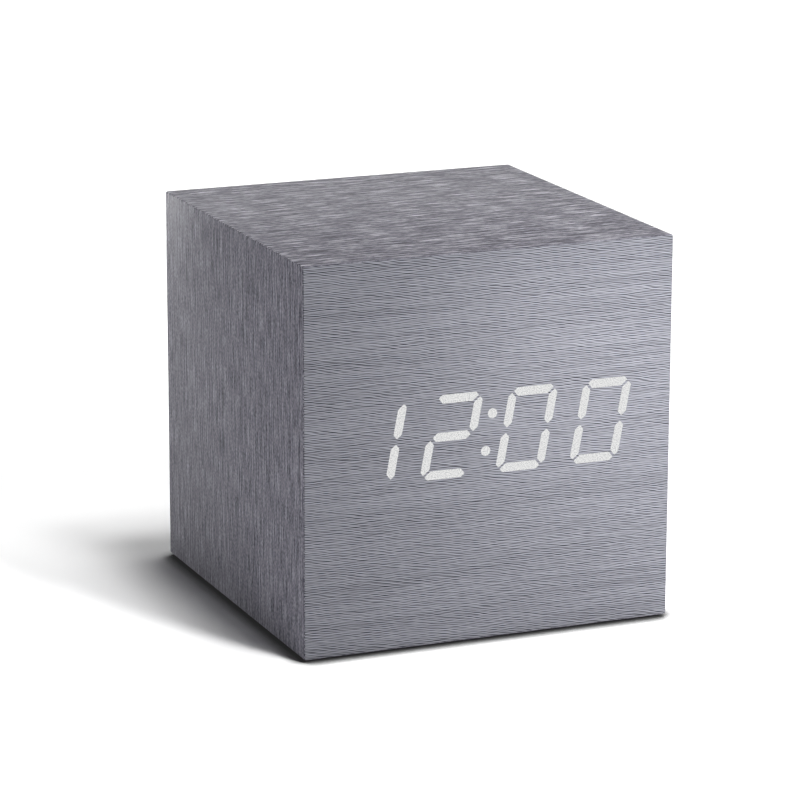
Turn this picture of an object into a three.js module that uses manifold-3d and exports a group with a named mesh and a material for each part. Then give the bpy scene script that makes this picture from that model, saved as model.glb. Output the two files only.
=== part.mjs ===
// Digital alarm clock: a cube case of mitred boards wrapped in brushed film, a seven-segment display
// behind the front film, and a plastic rear cover that holds the batteries and the controls.
// Millimetres, +Z up. The front faces -Y, and the origin is on the ground under the middle of the case.

import * as THREE from "three";
import { mergeVertices } from "three/addons/utils/BufferGeometryUtils.js";
import Module from "manifold-3d";

const wasm = await Module();
wasm.setup();

// Case: four mitred boards in a sleeve of film, a front panel with its own film, four pads below. The
// inside is as wide and as high as the display, the battery tray and the control row need, with these
// margins, which make the case a 68 mm cube.
const caseDepth = 68;
const displaySideGap = 0.45;
const traySideGap = 2.9;
const controlStripSpare = 0.5;
const boardThickness = 4.6;
const wrapThickness = 0.4;
const wrapEdgeRadius = 0.35;
const wrapSeam = 0.3;
const wrapSeamOffset = 12;
const frontBoardThickness = 3;
const frontBoardFit = 0.1;
const frontFilmThickness = 0.35;
const frontFilmSeam = 0.12;
const rimFilmThickness = 0.3;
const footHeight = 0.5;
const footDiameter = 8;
const footInset = 8;

// Display: four slanted digits and a colon
const digitCount = 4;
const digitHeight = 14.65;
const digitWidth = 9.15;
const digitPitch = 13.93;
const digitSlantShare = 0.19;
const strokeWidth = 1.525;
const segmentGap = 0.4;
const digitCornerCut = 1.45;
const middleGap = 0.9;
const middleBarLength = 7;
const colonDotDiameter = 1.75;
const colonRise = 3.25;
const colonShift = -0.05;
const displayShift = -0.19;
const displayHeight = 36.5;
const diffuserThickness = 0.3;
const reflectorDepth = 7;
const reflectorSideWall = 1.2;
const reflectorRim = 3.6;
const displayBoardDrop = 6;
const ledSize = 1;
const ledHeight = 0.6;
const ledSink = 0.2;

// Both circuit boards, their screws and the ribbon between them
const circuitThickness = 1.6;
const boardScrewDiameter = 1.6;
const boardScrewLength = 5.6;
const boardScrewHeadDiameter = 2.8;
const boardScrewHeadHeight = 1;
const screwClearance = 0.25;
const pilotClearance = 0.1;
const pilotExtraDepth = 0.5;
const ribbonWidth = 8;
const ribbonThickness = 0.6;
const ribbonX = 6;
const ribbonStraight = 6;
const socketWall = 1;
const socketHeight = 5;
const socketThickness = 5;
const socketPocketDepth = 3.5;
const socketFit = 0.2;
const displaySocketDrop = 3.6;

// Parts on the back of the display board, placed from the middle of the display
const chipWidth = 7.5;
const chipLength = 10;
const chipHeight = 2;
const chipLeadPitch = 1.27;
const chipLeadWidth = 0.4;
const chipLeadReach = 1;
const chipLeadHeight = 0.8;
const chipX = -8;
const chipDrop = 3;
const crystalLength = 11;
const crystalWidth = 4.6;
const crystalHeight = 3.5;
const crystalFlange = 0.5;
const crystalX = -20.5;
const crystalDrop = 0.5;
const buzzerDiameter = 12;
const buzzerHeight = 6.5;
const buzzerHoleDiameter = 2.2;
const buzzerHoleDepth = 2;
const buzzerX = 14;
const buzzerDrop = 9;
const capacitorDiameter = 5;
const capacitorHeight = 7;
const capacitorGroove = 0.3;
const capacitorX = 22.5;
const capacitorRise = 3.5;

// Battery bay: four cells side by side, all lying along X
const cellDiameter = 10.5;
const cellLength = 44.5;
const cellNubDiameter = 3.8;
const cellNubLength = 1.2;
const cellEdge = 0.4;
const cellPitch = 10.9;
const cellCount = 4;
const cellLift = 0.2;
const cellPlay = 0.1;
const contactThickness = 0.4;
const contactFit = 0.1;
const contactWidth = 8;
const contactDepth = 9;
const contactBump = 0.7;
const contactBumpDiameter = 3.4;
const contactTabWidth = 2;
const contactTabReach = 1.5;
const contactSlotFit = 0.3;
const springLength = 3.4;
const springWideDiameter = 5.8;
const springTipDiameter = 4.2;
const springTurns = 4;
const springWire = 0.6;
const cradleRibWidth = 4;
const cradleRibHeight = 1.5;
const cradleRibLength = 28;

// Rear cover, set into the back of the case
const coverRecess = 1;
const coverThickness = 2;
const coverFit = 0.3;
const trayWall = 1.2;
const trayRise = 1.9;
const hookWidth = 8;
const hookSpread = 15;
const hookDrop = 1.1;
const hookDepth = 1.8;
const hookFit = 0.2;
const cornerBlock = 6.4;
const cornerBlockLength = 12;
const cornerBlockGap = 0.4;
const coverScrewDiameter = 2.1;
const coverScrewLength = 9;
const coverScrewHeadDiameter = 4.4;
const coverScrewHeadHeight = 1;
const coverScrewRecessFit = 0.2;
const crossWidth = 0.7;
const crossDepth = 0.6;
const crossShare = 0.6;

// Battery door, turning on two lower tabs
const doorThickness = 1.6;
const doorLap = 0.7;
const doorFit = 0.25;
const doorPlay = 0.5;
const doorTabWidth = 6;
const doorTabSpread = 12;
const doorTabThickness = 0.8;
const doorTabDrop = 0.9;
const doorTabFit = 0.1;
const doorTabSideFit = 0.3;
const latchWidth = 10;
const latchHeight = 6.5;
const latchSlot = 0.8;
const fingerNotchWidth = 9;
const fingerNotchHeight = 1.6;
const fingerNotchDepth = 1;
const gripCount = 3;
const gripPitch = 1.3;
const gripWidth = 0.6;
const gripDepth = 0.4;

// Controls in a row above the door: a boss, the buttons, the slide switch, the power inlet and a boss
const controlBoardHeight = 10;
const controlBoardEdge = 0.3;
const controlGap = 0.4;
const controlStandoff = 6.8;
const bossDiameter = 3.2;
const buttonDiameter = 5.4;
const buttonFit = 0.2;
const buttonFlangeDiameter = 6.8;
const buttonFlangeThickness = 1.1;
const buttonFlangeGap = 0.3;
const buttonProud = 0.6;
const buttonChamfer = 0.3;
const buttonDish = 0.15;
const buttonTravel = 0.5;
const buttonGap = 0.6;
const switchBodyWidth = 6;
const switchBodyHeight = 3.5;
const stemDiameter = 3.4;
const stemFit = 0.2;
const stemSunk = 0.9;
const slideBodyLength = 7.2;
const slideBodyWidth = 4.4;
const slideBodyHeight = 3.8;
const slideTravel = 2;
const knobWidth = 2.4;
const knobFit = 0.2;
const knobSunk = 1;
const knobSlotSpare = 0.3;
const knobProud = 0.7;
const knobNotch = 0.35;
const knobNotchCount = 2;
const jackWidth = 7;
const jackNoseDiameter = 6;
const jackNoseFit = 0.2;
const jackShoulderGap = 0.4;
const jackBoreDiameter = 3.7;
const jackBoreDepth = 7.4;
const jackPinDiameter = 1.1;
const jackPinLength = 6.4;
const wireDiameter = 1.3;
const wireGap = 0.3;
const wireBulge = 5;
const redWireX = -16;
const blackWireX = -12.5;

// One overrun serves every cut
const overrun = 0.5;
const roundSides = 24;
const smallRoundSides = 16;
const wireSides = 8;
const edgeArcSteps = 3;

// Middles of the things in a row that is centred on the case, with one gap between each two
function rowMiddles(lengths, gap) {
  let left = -rowLength(lengths, gap) / 2;
  return lengths.map((length) => {
    const middle = left + length / 2;
    left += length + gap;
    return middle;
  });
}

function rowLength(lengths, gap) {
  return lengths.reduce((sum, length) => sum + length, 0) + (lengths.length - 1) * gap;
}

// Widths worked out from the sizes above
const digitSpan = (digitCount - 1) * digitPitch + digitWidth + digitSlantShare * digitHeight;
const reflectorHalf = digitSpan / 2 + reflectorSideWall;
const reflectorHalfHeight = digitHeight / 2 + reflectorRim;
const contactSpace = contactFit + contactThickness;
const trayHalf = (cellLength + contactBump + springLength) / 2 + contactSpace + cellPlay;
const buttonNames = ["set", "down", "up"];
const buttonFlanges = buttonNames.map(() => buttonFlangeDiameter);
const buttonsLength = rowLength(buttonFlanges, buttonGap);
const controlRow = [bossDiameter, buttonsLength, slideBodyLength, jackWidth, bossDiameter];
const [leftBossX, buttonsX, slideX, jackX, rightBossX] = rowMiddles(controlRow, controlGap);
const controlBoardHalf = rowLength(controlRow, controlGap) / 2 + controlBoardEdge;
const cavityHalf = Math.max(
  reflectorHalf + Math.abs(displayShift) + displaySideGap,
  trayHalf + trayWall + traySideGap,
  controlBoardHalf + cornerBlockGap + cornerBlock,
);
const coverHalf = cavityHalf - coverFit;
const boardHalf = cavityHalf + boardThickness;
const halfWidth = boardHalf + wrapThickness;
const coverScrewX = cavityHalf - cornerBlock / 2;
const recessHalf = trayHalf + doorLap;

// Heights, from the case's underside
const boardBottom = wrapThickness;
const cavityBottom = boardBottom + boardThickness;
const coverBottom = cavityBottom + coverFit;
const trayBottom = coverBottom + trayRise;
const trayTop = trayBottom + cellPitch * cellCount;
const controlZ = trayTop + trayWall + controlStripSpare + controlBoardHeight / 2;
const cavityTop = controlZ + controlBoardHeight / 2 + controlStripSpare;
const coverTop = cavityTop - coverFit;
const boardTop = cavityTop + boardThickness;
const caseHeight = boardTop + wrapThickness;
const coverScrewZ = cavityTop - cornerBlock / 2;
const recessBottom = trayBottom - doorLap;
const recessTop = trayTop + doorLap;
const doorBottom = recessBottom + doorFit;
const doorTop = recessTop - doorFit;

// Places along the depth, from front to back
const frontY = -caseDepth / 2;
const backY = caseDepth / 2;
const frontBoardFront = frontY + frontFilmThickness;
const frontBoardBack = frontBoardFront + frontBoardThickness;
const reflectorFront = frontBoardBack + diffuserThickness;
const reflectorBack = reflectorFront + reflectorDepth;
const circuitBack = reflectorBack + circuitThickness;
const boardBack = backY - rimFilmThickness;
const coverOuter = backY - coverRecess;
const coverInner = coverOuter - coverThickness;
const doorInner = coverOuter - doorThickness;
const trayFloor = doorInner - doorPlay - cellDiameter - cellLift;
const cellY = trayFloor + cellLift + cellDiameter / 2;
const controlRear = coverInner - controlStandoff;
const controlFront = controlRear - circuitThickness;
const buttonFlangeTop = coverInner - buttonFlangeGap;
const buttonFoot = buttonFlangeTop - buttonFlangeThickness;
const switchBodyTop = controlRear + switchBodyHeight;

const clock = new THREE.Group();
clock.position.z = footHeight;

const finishes = {
  film: { color: 0x8a8b93, roughness: 0.45, metalness: 0.55 },
  faceFilm: { color: 0x94959d, roughness: 0.42, metalness: 0.6 },
  fibreboard: { color: 0xa88a63, roughness: 0.85, metalness: 0 },
  blackPlastic: { color: 0x1c1c1e, roughness: 0.55, metalness: 0 },
  whitePlastic: { color: 0xe6e4dc, roughness: 0.5, metalness: 0 },
  diffuser: { color: 0xf2f2ee, roughness: 0.6, metalness: 0 },
  circuit: { color: 0x1d5b34, roughness: 0.45, metalness: 0 },
  steel: { color: 0xb9babd, roughness: 0.35, metalness: 0.95 },
  brass: { color: 0xb89a4e, roughness: 0.35, metalness: 0.95 },
  rubber: { color: 0x2a2a2b, roughness: 0.8, metalness: 0 },
  cellJacket: { color: 0x3a4653, roughness: 0.35, metalness: 0.3 },
  redWire: { color: 0xb3231e, roughness: 0.5, metalness: 0 },
  blackWire: { color: 0x17171a, roughness: 0.5, metalness: 0 },
  greyWire: { color: 0x9a9a9e, roughness: 0.6, metalness: 0 },
};

// Adds one named piece to the clock
function addPiece(name, geometry, finish) {
  const mesh = new THREE.Mesh(geometry, new THREE.MeshStandardMaterial(finishes[finish]));
  mesh.name = name;
  clock.add(mesh);
}

// The range that reaches equally far on both sides of a middle
function around(middle, reach) {
  return [middle - reach, middle + reach];
}

// A box between two corners
function block(xRange, yRange, zRange) {
  const size = [xRange, yRange, zRange].map(([low, high]) => high - low);
  const middle = [xRange, yRange, zRange].map(([low, high]) => (low + high) / 2);
  return new THREE.BoxGeometry(...size).translate(...middle);
}

// An outline of points, extruded along one axis between two places on it
function prism(axis, outline, from, to) {
  const shape = new THREE.Shape(outline.map(([a, b]) => new THREE.Vector2(a, b)));
  const geometry = new THREE.ExtrudeGeometry(shape, { depth: to - from, bevelEnabled: false });
  const x = new THREE.Vector3(1, 0, 0);
  const y = new THREE.Vector3(0, 1, 0);
  const z = new THREE.Vector3(0, 0, 1);
  if (axis === "x") {
    return geometry.applyMatrix4(new THREE.Matrix4().makeBasis(y, z, x)).translate(from, 0, 0);
  }
  if (axis === "y") {
    return geometry.applyMatrix4(new THREE.Matrix4().makeBasis(x, z, y.negate())).translate(0, to, 0);
  }
  return geometry.translate(0, 0, from);
}

// A profile of [radius, height] points turned about an axis through a place
function turned(axis, profile, place, sides = roundSides) {
  const points = profile.map(([radius, height]) => new THREE.Vector2(radius, height));
  const geometry = new THREE.LatheGeometry(points, sides);
  if (axis === "x") {
    geometry.rotateZ(-Math.PI / 2);
  }
  if (axis === "z") {
    geometry.rotateX(Math.PI / 2);
  }
  return geometry.translate(...place);
}

// A plain round rod along Y from one place to another
function rodY(diameter, x, z, from, to, sides = roundSides) {
  const radius = diameter / 2;
  return turned("y", [[0, from], [radius, from], [radius, to], [0, to]], [x, 0, z], sides);
}

// Joins a closed mesh's shared corners and makes it a solid that can be cut and joined
function solid(geometry) {
  const bare = geometry.clone();
  bare.deleteAttribute("normal");
  bare.deleteAttribute("uv");
  const merged = mergeVertices(bare);
  const corners = Array.from(merged.index.array);
  const kept = [];
  for (let i = 0; i < corners.length; i += 3) {
    const [a, b, c] = corners.slice(i, i + 3);
    if (a !== b && b !== c && c !== a) {
      kept.push(a, b, c);
    }
  }
  return new wasm.Manifold(new wasm.Mesh({
    numProp: 3,
    vertProperties: new Float32Array(merged.attributes.position.array),
    triVerts: new Uint32Array(kept),
  }));
}

// One solid joined from some shapes, less some others, with the last ones added after the cuts
function carve(joined, cuts = [], added = []) {
  let body = solid(joined[0]);
  for (const shape of joined.slice(1)) {
    body = body.add(solid(shape));
  }
  for (const shape of cuts) {
    body = body.subtract(solid(shape));
  }
  for (const shape of added) {
    body = body.add(solid(shape));
  }
  const mesh = body.getMesh();
  const geometry = new THREE.BufferGeometry();
  geometry.setAttribute("position", new THREE.BufferAttribute(new Float32Array(mesh.vertProperties), 3));
  geometry.setIndex(new THREE.BufferAttribute(new Uint32Array(mesh.triVerts), 1));
  geometry.computeVertexNormals();
  return geometry;
}

// Case boards: each one's outline runs through the mitres to its neighbours
function addBoards() {
  const square = (half, low, high) => [[-half, low], [half, low], [half, high], [-half, high]];
  const outer = square(boardHalf, boardBottom, boardTop);
  const inner = square(cavityHalf, cavityBottom, cavityTop);
  const names = ["bottom_board", "right_board", "top_board", "left_board"];
  names.forEach((name, i) => {
    const next = (i + 1) % names.length;
    const board = prism("y", [outer[i], outer[next], inner[next], inner[i]], frontBoardBack, boardBack);
    addPiece(name, name === "bottom_board" ? carve([board], hookPockets()) : board, "fibreboard");
  });
}

// Pockets in the bottom board for the cover's two hooks
function hookPockets() {
  const half = hookWidth / 2 + hookFit;
  return around(0, hookSpread).map((x) => block(
    around(x, half),
    [coverInner - hookDepth - hookFit, coverInner + hookFit],
    [coverBottom - hookDrop - hookFit, cavityBottom + overrun],
  ));
}

// The film round the four boards, with rounded outer edges and a butt seam under the case
function addWrapFilm() {
  const outline = [];
  const seamLeft = wrapSeamOffset - wrapSeam / 2;
  const seamRight = wrapSeamOffset + wrapSeam / 2;
  const corners = [[1, 0, -90], [1, 1, 0], [-1, 1, 90], [-1, 0, 180]];
  outline.push([seamRight, 0]);
  for (const [side, top, startAngle] of corners) {
    const x = side * (halfWidth - wrapEdgeRadius);
    const z = top ? caseHeight - wrapEdgeRadius : wrapEdgeRadius;
    for (let i = 0; i <= edgeArcSteps; i += 1) {
      const angle = THREE.MathUtils.degToRad(startAngle + (90 * i) / edgeArcSteps);
      outline.push([x + wrapEdgeRadius * Math.cos(angle), z + wrapEdgeRadius * Math.sin(angle)]);
    }
  }
  outline.push([seamLeft, 0], [seamLeft, boardBottom]);
  outline.push([-boardHalf, boardBottom], [-boardHalf, boardTop], [boardHalf, boardTop]);
  outline.push([boardHalf, boardBottom], [seamRight, boardBottom]);
  addPiece("wrap_film", prism("y", outline, frontY, backY), "film");
}

// The film over the boards' rear edges
function addRimFilm() {
  const half = boardHalf - frontFilmSeam;
  const low = boardBottom + frontFilmSeam;
  const high = boardTop - frontFilmSeam;
  const sheet = block(around(0, half), [boardBack, backY], [low, high]);
  const hole = block(around(0, cavityHalf), [boardBack - overrun, backY + overrun],
    [cavityBottom, cavityTop]);
  addPiece("rear_rim_film", carve([sheet], [hole]), "film");
}

// The seven segments of one digit, each an outline about the digit's middle before it is slanted
function segmentOutlines() {
  const w = digitWidth / 2;
  const h = digitHeight / 2;
  const t = strokeWidth;
  const shift = segmentGap / Math.SQRT2;
  const diagonal = h - w;
  const cutSum = w + h - digitCornerCut;
  const barTip = [(cutSum - diagonal - shift) / 2, (cutSum + diagonal + shift) / 2];
  const sideTip = [(cutSum - diagonal + shift) / 2, (cutSum + diagonal - shift) / 2];
  const innerEnd = w - t - shift;
  const top = [[-innerEnd, h - t], [innerEnd, h - t], barTip, [cutSum - h, h], [h - cutSum, h],
    [-barTip[0], barTip[1]]];
  const low = middleGap / 2;
  const upperRight = [[w - t / 2, low], [w, low + t / 2], [w, cutSum - w], sideTip, [w - t, h - t - shift],
    [w - t, low + t / 2]];
  const m = middleBarLength / 2;
  const middle = [[-m, 0], [t / 2 - m, -t / 2], [m - t / 2, -t / 2], [m, 0], [m - t / 2, t / 2],
    [t / 2 - m, t / 2]];
  const mirror = (outline, a, b) => outline.map(([u, v]) => [a * u, b * v]).reverse();
  const upperLeft = mirror(upperRight, -1, 1);
  return [top, upperRight, upperLeft, middle, mirror(top, 1, -1), mirror(upperRight, 1, -1),
    mirror(upperLeft, 1, -1)];
}

// Every window of the display: a middle and an outline in the XZ plane
function displayWindows() {
  const windows = [];
  for (let digit = 0; digit < digitCount; digit += 1) {
    const middleX = displayShift + (digit - (digitCount - 1) / 2) * digitPitch;
    for (const outline of segmentOutlines()) {
      const placed = outline.map(([u, v]) => [middleX + u + digitSlantShare * v, displayHeight + v]);
      const sum = placed.reduce(([a, b], [x, z]) => [a + x, b + z], [0, 0]);
      windows.push({ outline: placed, middle: sum.map((value) => value / placed.length) });
    }
  }
  for (const side of around(0, 1)) {
    const x = displayShift + colonShift + digitSlantShare * side * colonRise;
    const z = displayHeight + side * colonRise;
    const radius = colonDotDiameter / 2;
    const dot = [];
    for (let i = 0; i < smallRoundSides; i += 1) {
      const angle = (2 * Math.PI * i) / smallRoundSides;
      dot.push([x + radius * Math.cos(angle), z + radius * Math.sin(angle)]);
    }
    windows.push({ outline: dot, middle: [x, z] });
  }
  return windows;
}

// Front panel, films and feet
function addFront(windows) {
  const half = boardHalf - frontBoardFit;
  const panel = block(around(0, half), [frontBoardFront, frontBoardBack],
    [boardBottom + frontBoardFit, boardTop - frontBoardFit]);
  const cuts = windows.map(({ outline }) => prism("y", outline, frontBoardFront - overrun,
    frontBoardBack + overrun));
  addPiece("front_board", carve([panel], cuts), "fibreboard");
  const filmHalf = boardHalf - frontFilmSeam;
  const film = block(around(0, filmHalf), [frontY, frontBoardFront],
    [boardBottom + frontFilmSeam, boardTop - frontFilmSeam]);
  addPiece("front_film", film, "faceFilm");
}

function addFeet() {
  let number = 1;
  for (const y of [frontY + footInset, backY - footInset]) {
    for (const x of [-halfWidth + footInset, halfWidth - footInset]) {
      const radius = footDiameter / 2;
      const profile = [[0, -footHeight], [radius, -footHeight], [radius, 0], [0, 0]];
      addPiece(`foot_${number}`, turned("z", profile, [x, y, 0]), "rubber");
      number += 1;
    }
  }
}

// Middles of the four display screws, in the reflector's rim above and below the digits
function displayScrewPlaces() {
  const x = reflectorHalf - reflectorRim;
  const z = digitHeight / 2 + reflectorRim / 2;
  return [[-x, -z], [x, -z], [-x, z], [x, z]].map(([a, b]) => [displayShift + a, displayHeight + b]);
}

// Diffuser, the block of light wells, and the circuit board that carries one light per well
function addDisplay(windows) {
  const xRange = around(displayShift, reflectorHalf);
  const zRange = around(displayHeight, reflectorHalfHeight);
  addPiece("diffuser_sheet", block(xRange, [frontBoardBack, reflectorFront], zRange), "diffuser");
  const wells = windows.map(({ outline }) => prism("y", outline, reflectorFront - overrun,
    reflectorBack + overrun));
  const pilotEnd = reflectorBack - (boardScrewLength - circuitThickness) - pilotExtraDepth;
  const pilots = displayScrewPlaces().map(([x, z]) => rodY(boardScrewDiameter + 2 * pilotClearance, x, z,
    pilotEnd, reflectorBack + overrun, smallRoundSides));
  const reflector = block(xRange, [reflectorFront, reflectorBack], zRange);
  addPiece("reflector", carve([reflector], [...wells, ...pilots]), "blackPlastic");
  const board = block(xRange, [reflectorBack, circuitBack], [zRange[0] - displayBoardDrop, zRange[1]]);
  const lights = windows.map(({ middle: [x, z] }) => block(around(x, ledSize / 2),
    [reflectorBack - ledHeight, reflectorBack + ledSink], around(z, ledSize / 2)));
  const holes = displayScrewPlaces().map(([x, z]) => rodY(boardScrewDiameter + screwClearance, x, z,
    reflectorBack - overrun, circuitBack + overrun, smallRoundSides));
  addPiece("display_board", carve([board, ...lights], holes), "circuit");
  displayScrewPlaces().forEach(([x, z], i) => {
    addPiece(`display_screw_${i + 1}`, boardScrew(x, z, circuitBack, 1), "steel");
  });
}

// A small screw whose head sits on a circuit board; side is +1 where the head looks towards +Y
function boardScrew(x, z, seat, side) {
  const head = boardScrewHeadDiameter / 2;
  const shaft = boardScrewDiameter / 2;
  const profile = [[0, -boardScrewLength], [shaft, -boardScrewLength], [shaft, 0], [head, 0],
    [head, boardScrewHeadHeight], [0, boardScrewHeadHeight]];
  const geometry = turned("y", profile, [0, 0, 0], smallRoundSides);
  if (side < 0) {
    geometry.rotateX(Math.PI);
  }
  return geometry.translate(x, seat, z);
}

// An outline with round ends, standing along Z
function stadium(x, z, length, width) {
  const radius = width / 2;
  const reach = (length - width) / 2;
  const points = [];
  for (const [side, start] of [[1, 0], [-1, Math.PI]]) {
    for (let i = 0; i <= wireSides; i += 1) {
      const angle = start + (Math.PI * i) / wireSides;
      points.push([x + radius * Math.cos(angle), z + side * reach + radius * Math.sin(angle)]);
    }
  }
  return points;
}

// What stands on the back of the display board
function addDisplayParts() {
  const [chipMiddleX, chipMiddleZ] = [displayShift + chipX, displayHeight - chipDrop];
  const leadCount = Math.floor(chipLength / chipLeadPitch);
  const leadEnd = chipWidth / 2 + chipLeadReach;
  const leads = [];
  for (let i = 0; i < leadCount; i += 1) {
    const x = chipMiddleX + (i - (leadCount - 1) / 2) * chipLeadPitch;
    leads.push(block(around(x, chipLeadWidth / 2),
      [circuitBack, circuitBack + chipLeadHeight], around(chipMiddleZ, leadEnd)));
  }
  const chip = block(around(chipMiddleX, chipLength / 2),
    [circuitBack, circuitBack + chipHeight], around(chipMiddleZ, chipWidth / 2));
  addPiece("microcontroller", carve([chip, ...leads]), "blackPlastic");

  const [canX, canZ] = [displayShift + crystalX, displayHeight - crystalDrop];
  const flange = stadium(canX, canZ, crystalLength + 2 * crystalFlange, crystalWidth + 2 * crystalFlange);
  const can = stadium(canX, canZ, crystalLength, crystalWidth);
  addPiece("crystal", carve([prism("y", flange, circuitBack, circuitBack + crystalFlange),
    prism("y", can, circuitBack, circuitBack + crystalHeight)]), "steel");

  const buzzer = buzzerDiameter / 2;
  const hole = buzzerHoleDiameter / 2;
  addPiece("buzzer", turned("y", [[0, 0], [buzzer, 0], [buzzer, buzzerHeight], [hole, buzzerHeight],
    [hole, buzzerHeight - buzzerHoleDepth], [0, buzzerHeight - buzzerHoleDepth]],
    [displayShift + buzzerX, circuitBack, displayHeight - buzzerDrop]), "blackPlastic");

  const radius = capacitorDiameter / 2;
  const neck = radius - capacitorGroove;
  const grooveMiddle = capacitorHeight / 5;
  const place = [displayShift + capacitorX, circuitBack, displayHeight + capacitorRise];
  addPiece("capacitor", turned("y", [[0, 0], [radius, 0], [radius, grooveMiddle - capacitorGroove],
    [neck, grooveMiddle], [radius, grooveMiddle + capacitorGroove], [radius, capacitorHeight],
    [0, capacitorHeight]], place, smallRoundSides), "cellJacket");
}

// A flat strip's outline: its middle line, with half the thickness on each side
function stripOutline(points, thickness) {
  const left = [];
  const right = [];
  points.forEach(([a, b], i) => {
    const before = points[Math.max(i - 1, 0)];
    const after = points[Math.min(i + 1, points.length - 1)];
    const [da, db] = [after[0] - before[0], after[1] - before[1]];
    const half = thickness / 2 / Math.hypot(da, db);
    left.push([a - db * half, b + da * half]);
    right.push([a + db * half, b - da * half]);
  });
  return [...right, ...left.reverse()];
}

// Ribbon between the two boards, and the sockets that it plugs into
function addRibbon() {
  const displaySocketZ = displayHeight + reflectorHalfHeight - displaySocketDrop;
  const pocketHalf = ribbonWidth / 2 + socketFit;
  const sockets = [["display_socket", circuitBack, 1, displaySocketZ],
    ["control_socket", controlFront, -1, controlZ]];
  const ends = sockets.map(([name, seat, side, z]) => {
    const mouth = seat + side * socketHeight;
    const floor = mouth - side * socketPocketDepth;
    const order = (a, b) => [Math.min(a, b), Math.max(a, b)];
    const bodyHalf = pocketHalf + socketWall;
    const body = block(around(ribbonX, bodyHalf), order(seat, mouth),
      around(z, socketThickness / 2));
    const pocket = block(around(ribbonX, pocketHalf), order(floor, mouth + side * overrun),
      [z - ribbonThickness / 2 - socketFit, z + ribbonThickness / 2 + socketFit]);
    addPiece(name, carve([body], [pocket]), "whitePlastic");
    return { tip: [floor + side * wireGap, z], bend: [mouth + side * ribbonStraight, z] };
  });
  const [start, end] = ends;
  const middleY = (start.bend[0] + end.bend[0]) / 2;
  const handles = [start.bend, [middleY, start.bend[1]], [middleY, end.bend[1]], end.bend];
  const sweep = new THREE.CubicBezierCurve(...handles.map(([a, b]) => new THREE.Vector2(a, b)));
  const line = [start.tip, ...sweep.getPoints(smallRoundSides).map(({ x, y }) => [x, y]), end.tip];
  const ribbon = prism("x", stripOutline(line, ribbonThickness), ribbonX - ribbonWidth / 2,
    ribbonX + ribbonWidth / 2);
  addPiece("ribbon_cable", ribbon, "greyWire");
}

// Glue blocks in the two upper corners, drilled for the cover's screws
function addCornerBlocks() {
  for (const [name, side] of [["corner_block_left", -1], ["corner_block_right", 1]]) {
    const inner = cavityHalf - cornerBlock;
    const low = cavityTop - cornerBlock;
    const cut = cornerBlock / 4;
    const outline = [[cavityHalf, cavityTop], [inner, cavityTop], [inner, low + cut], [inner + cut, low],
      [cavityHalf, low]].map(([x, z]) => [side * x, z]);
    const body = prism("y", outline, coverInner - cornerBlockLength, coverInner);
    const pilotEnd = coverOuter - coverScrewHeadHeight - coverScrewLength - pilotExtraDepth;
    const pilot = rodY(coverScrewDiameter + 2 * pilotClearance, side * coverScrewX, coverScrewZ, pilotEnd,
      coverInner + overrun, smallRoundSides);
    addPiece(name, carve([body], [pilot]), "fibreboard");
  }
}

function buttonPlaces() {
  return rowMiddles(buttonFlanges, buttonGap).map((x) => buttonsX + x);
}

// Where the slide switch's knob runs, along X and Z
function knobSlotRanges() {
  const along = knobWidth / 2 + slideTravel / 2 + knobFit;
  const across = knobWidth / 2 + knobFit;
  return [around(slideX, along), around(controlZ, across)];
}

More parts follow.
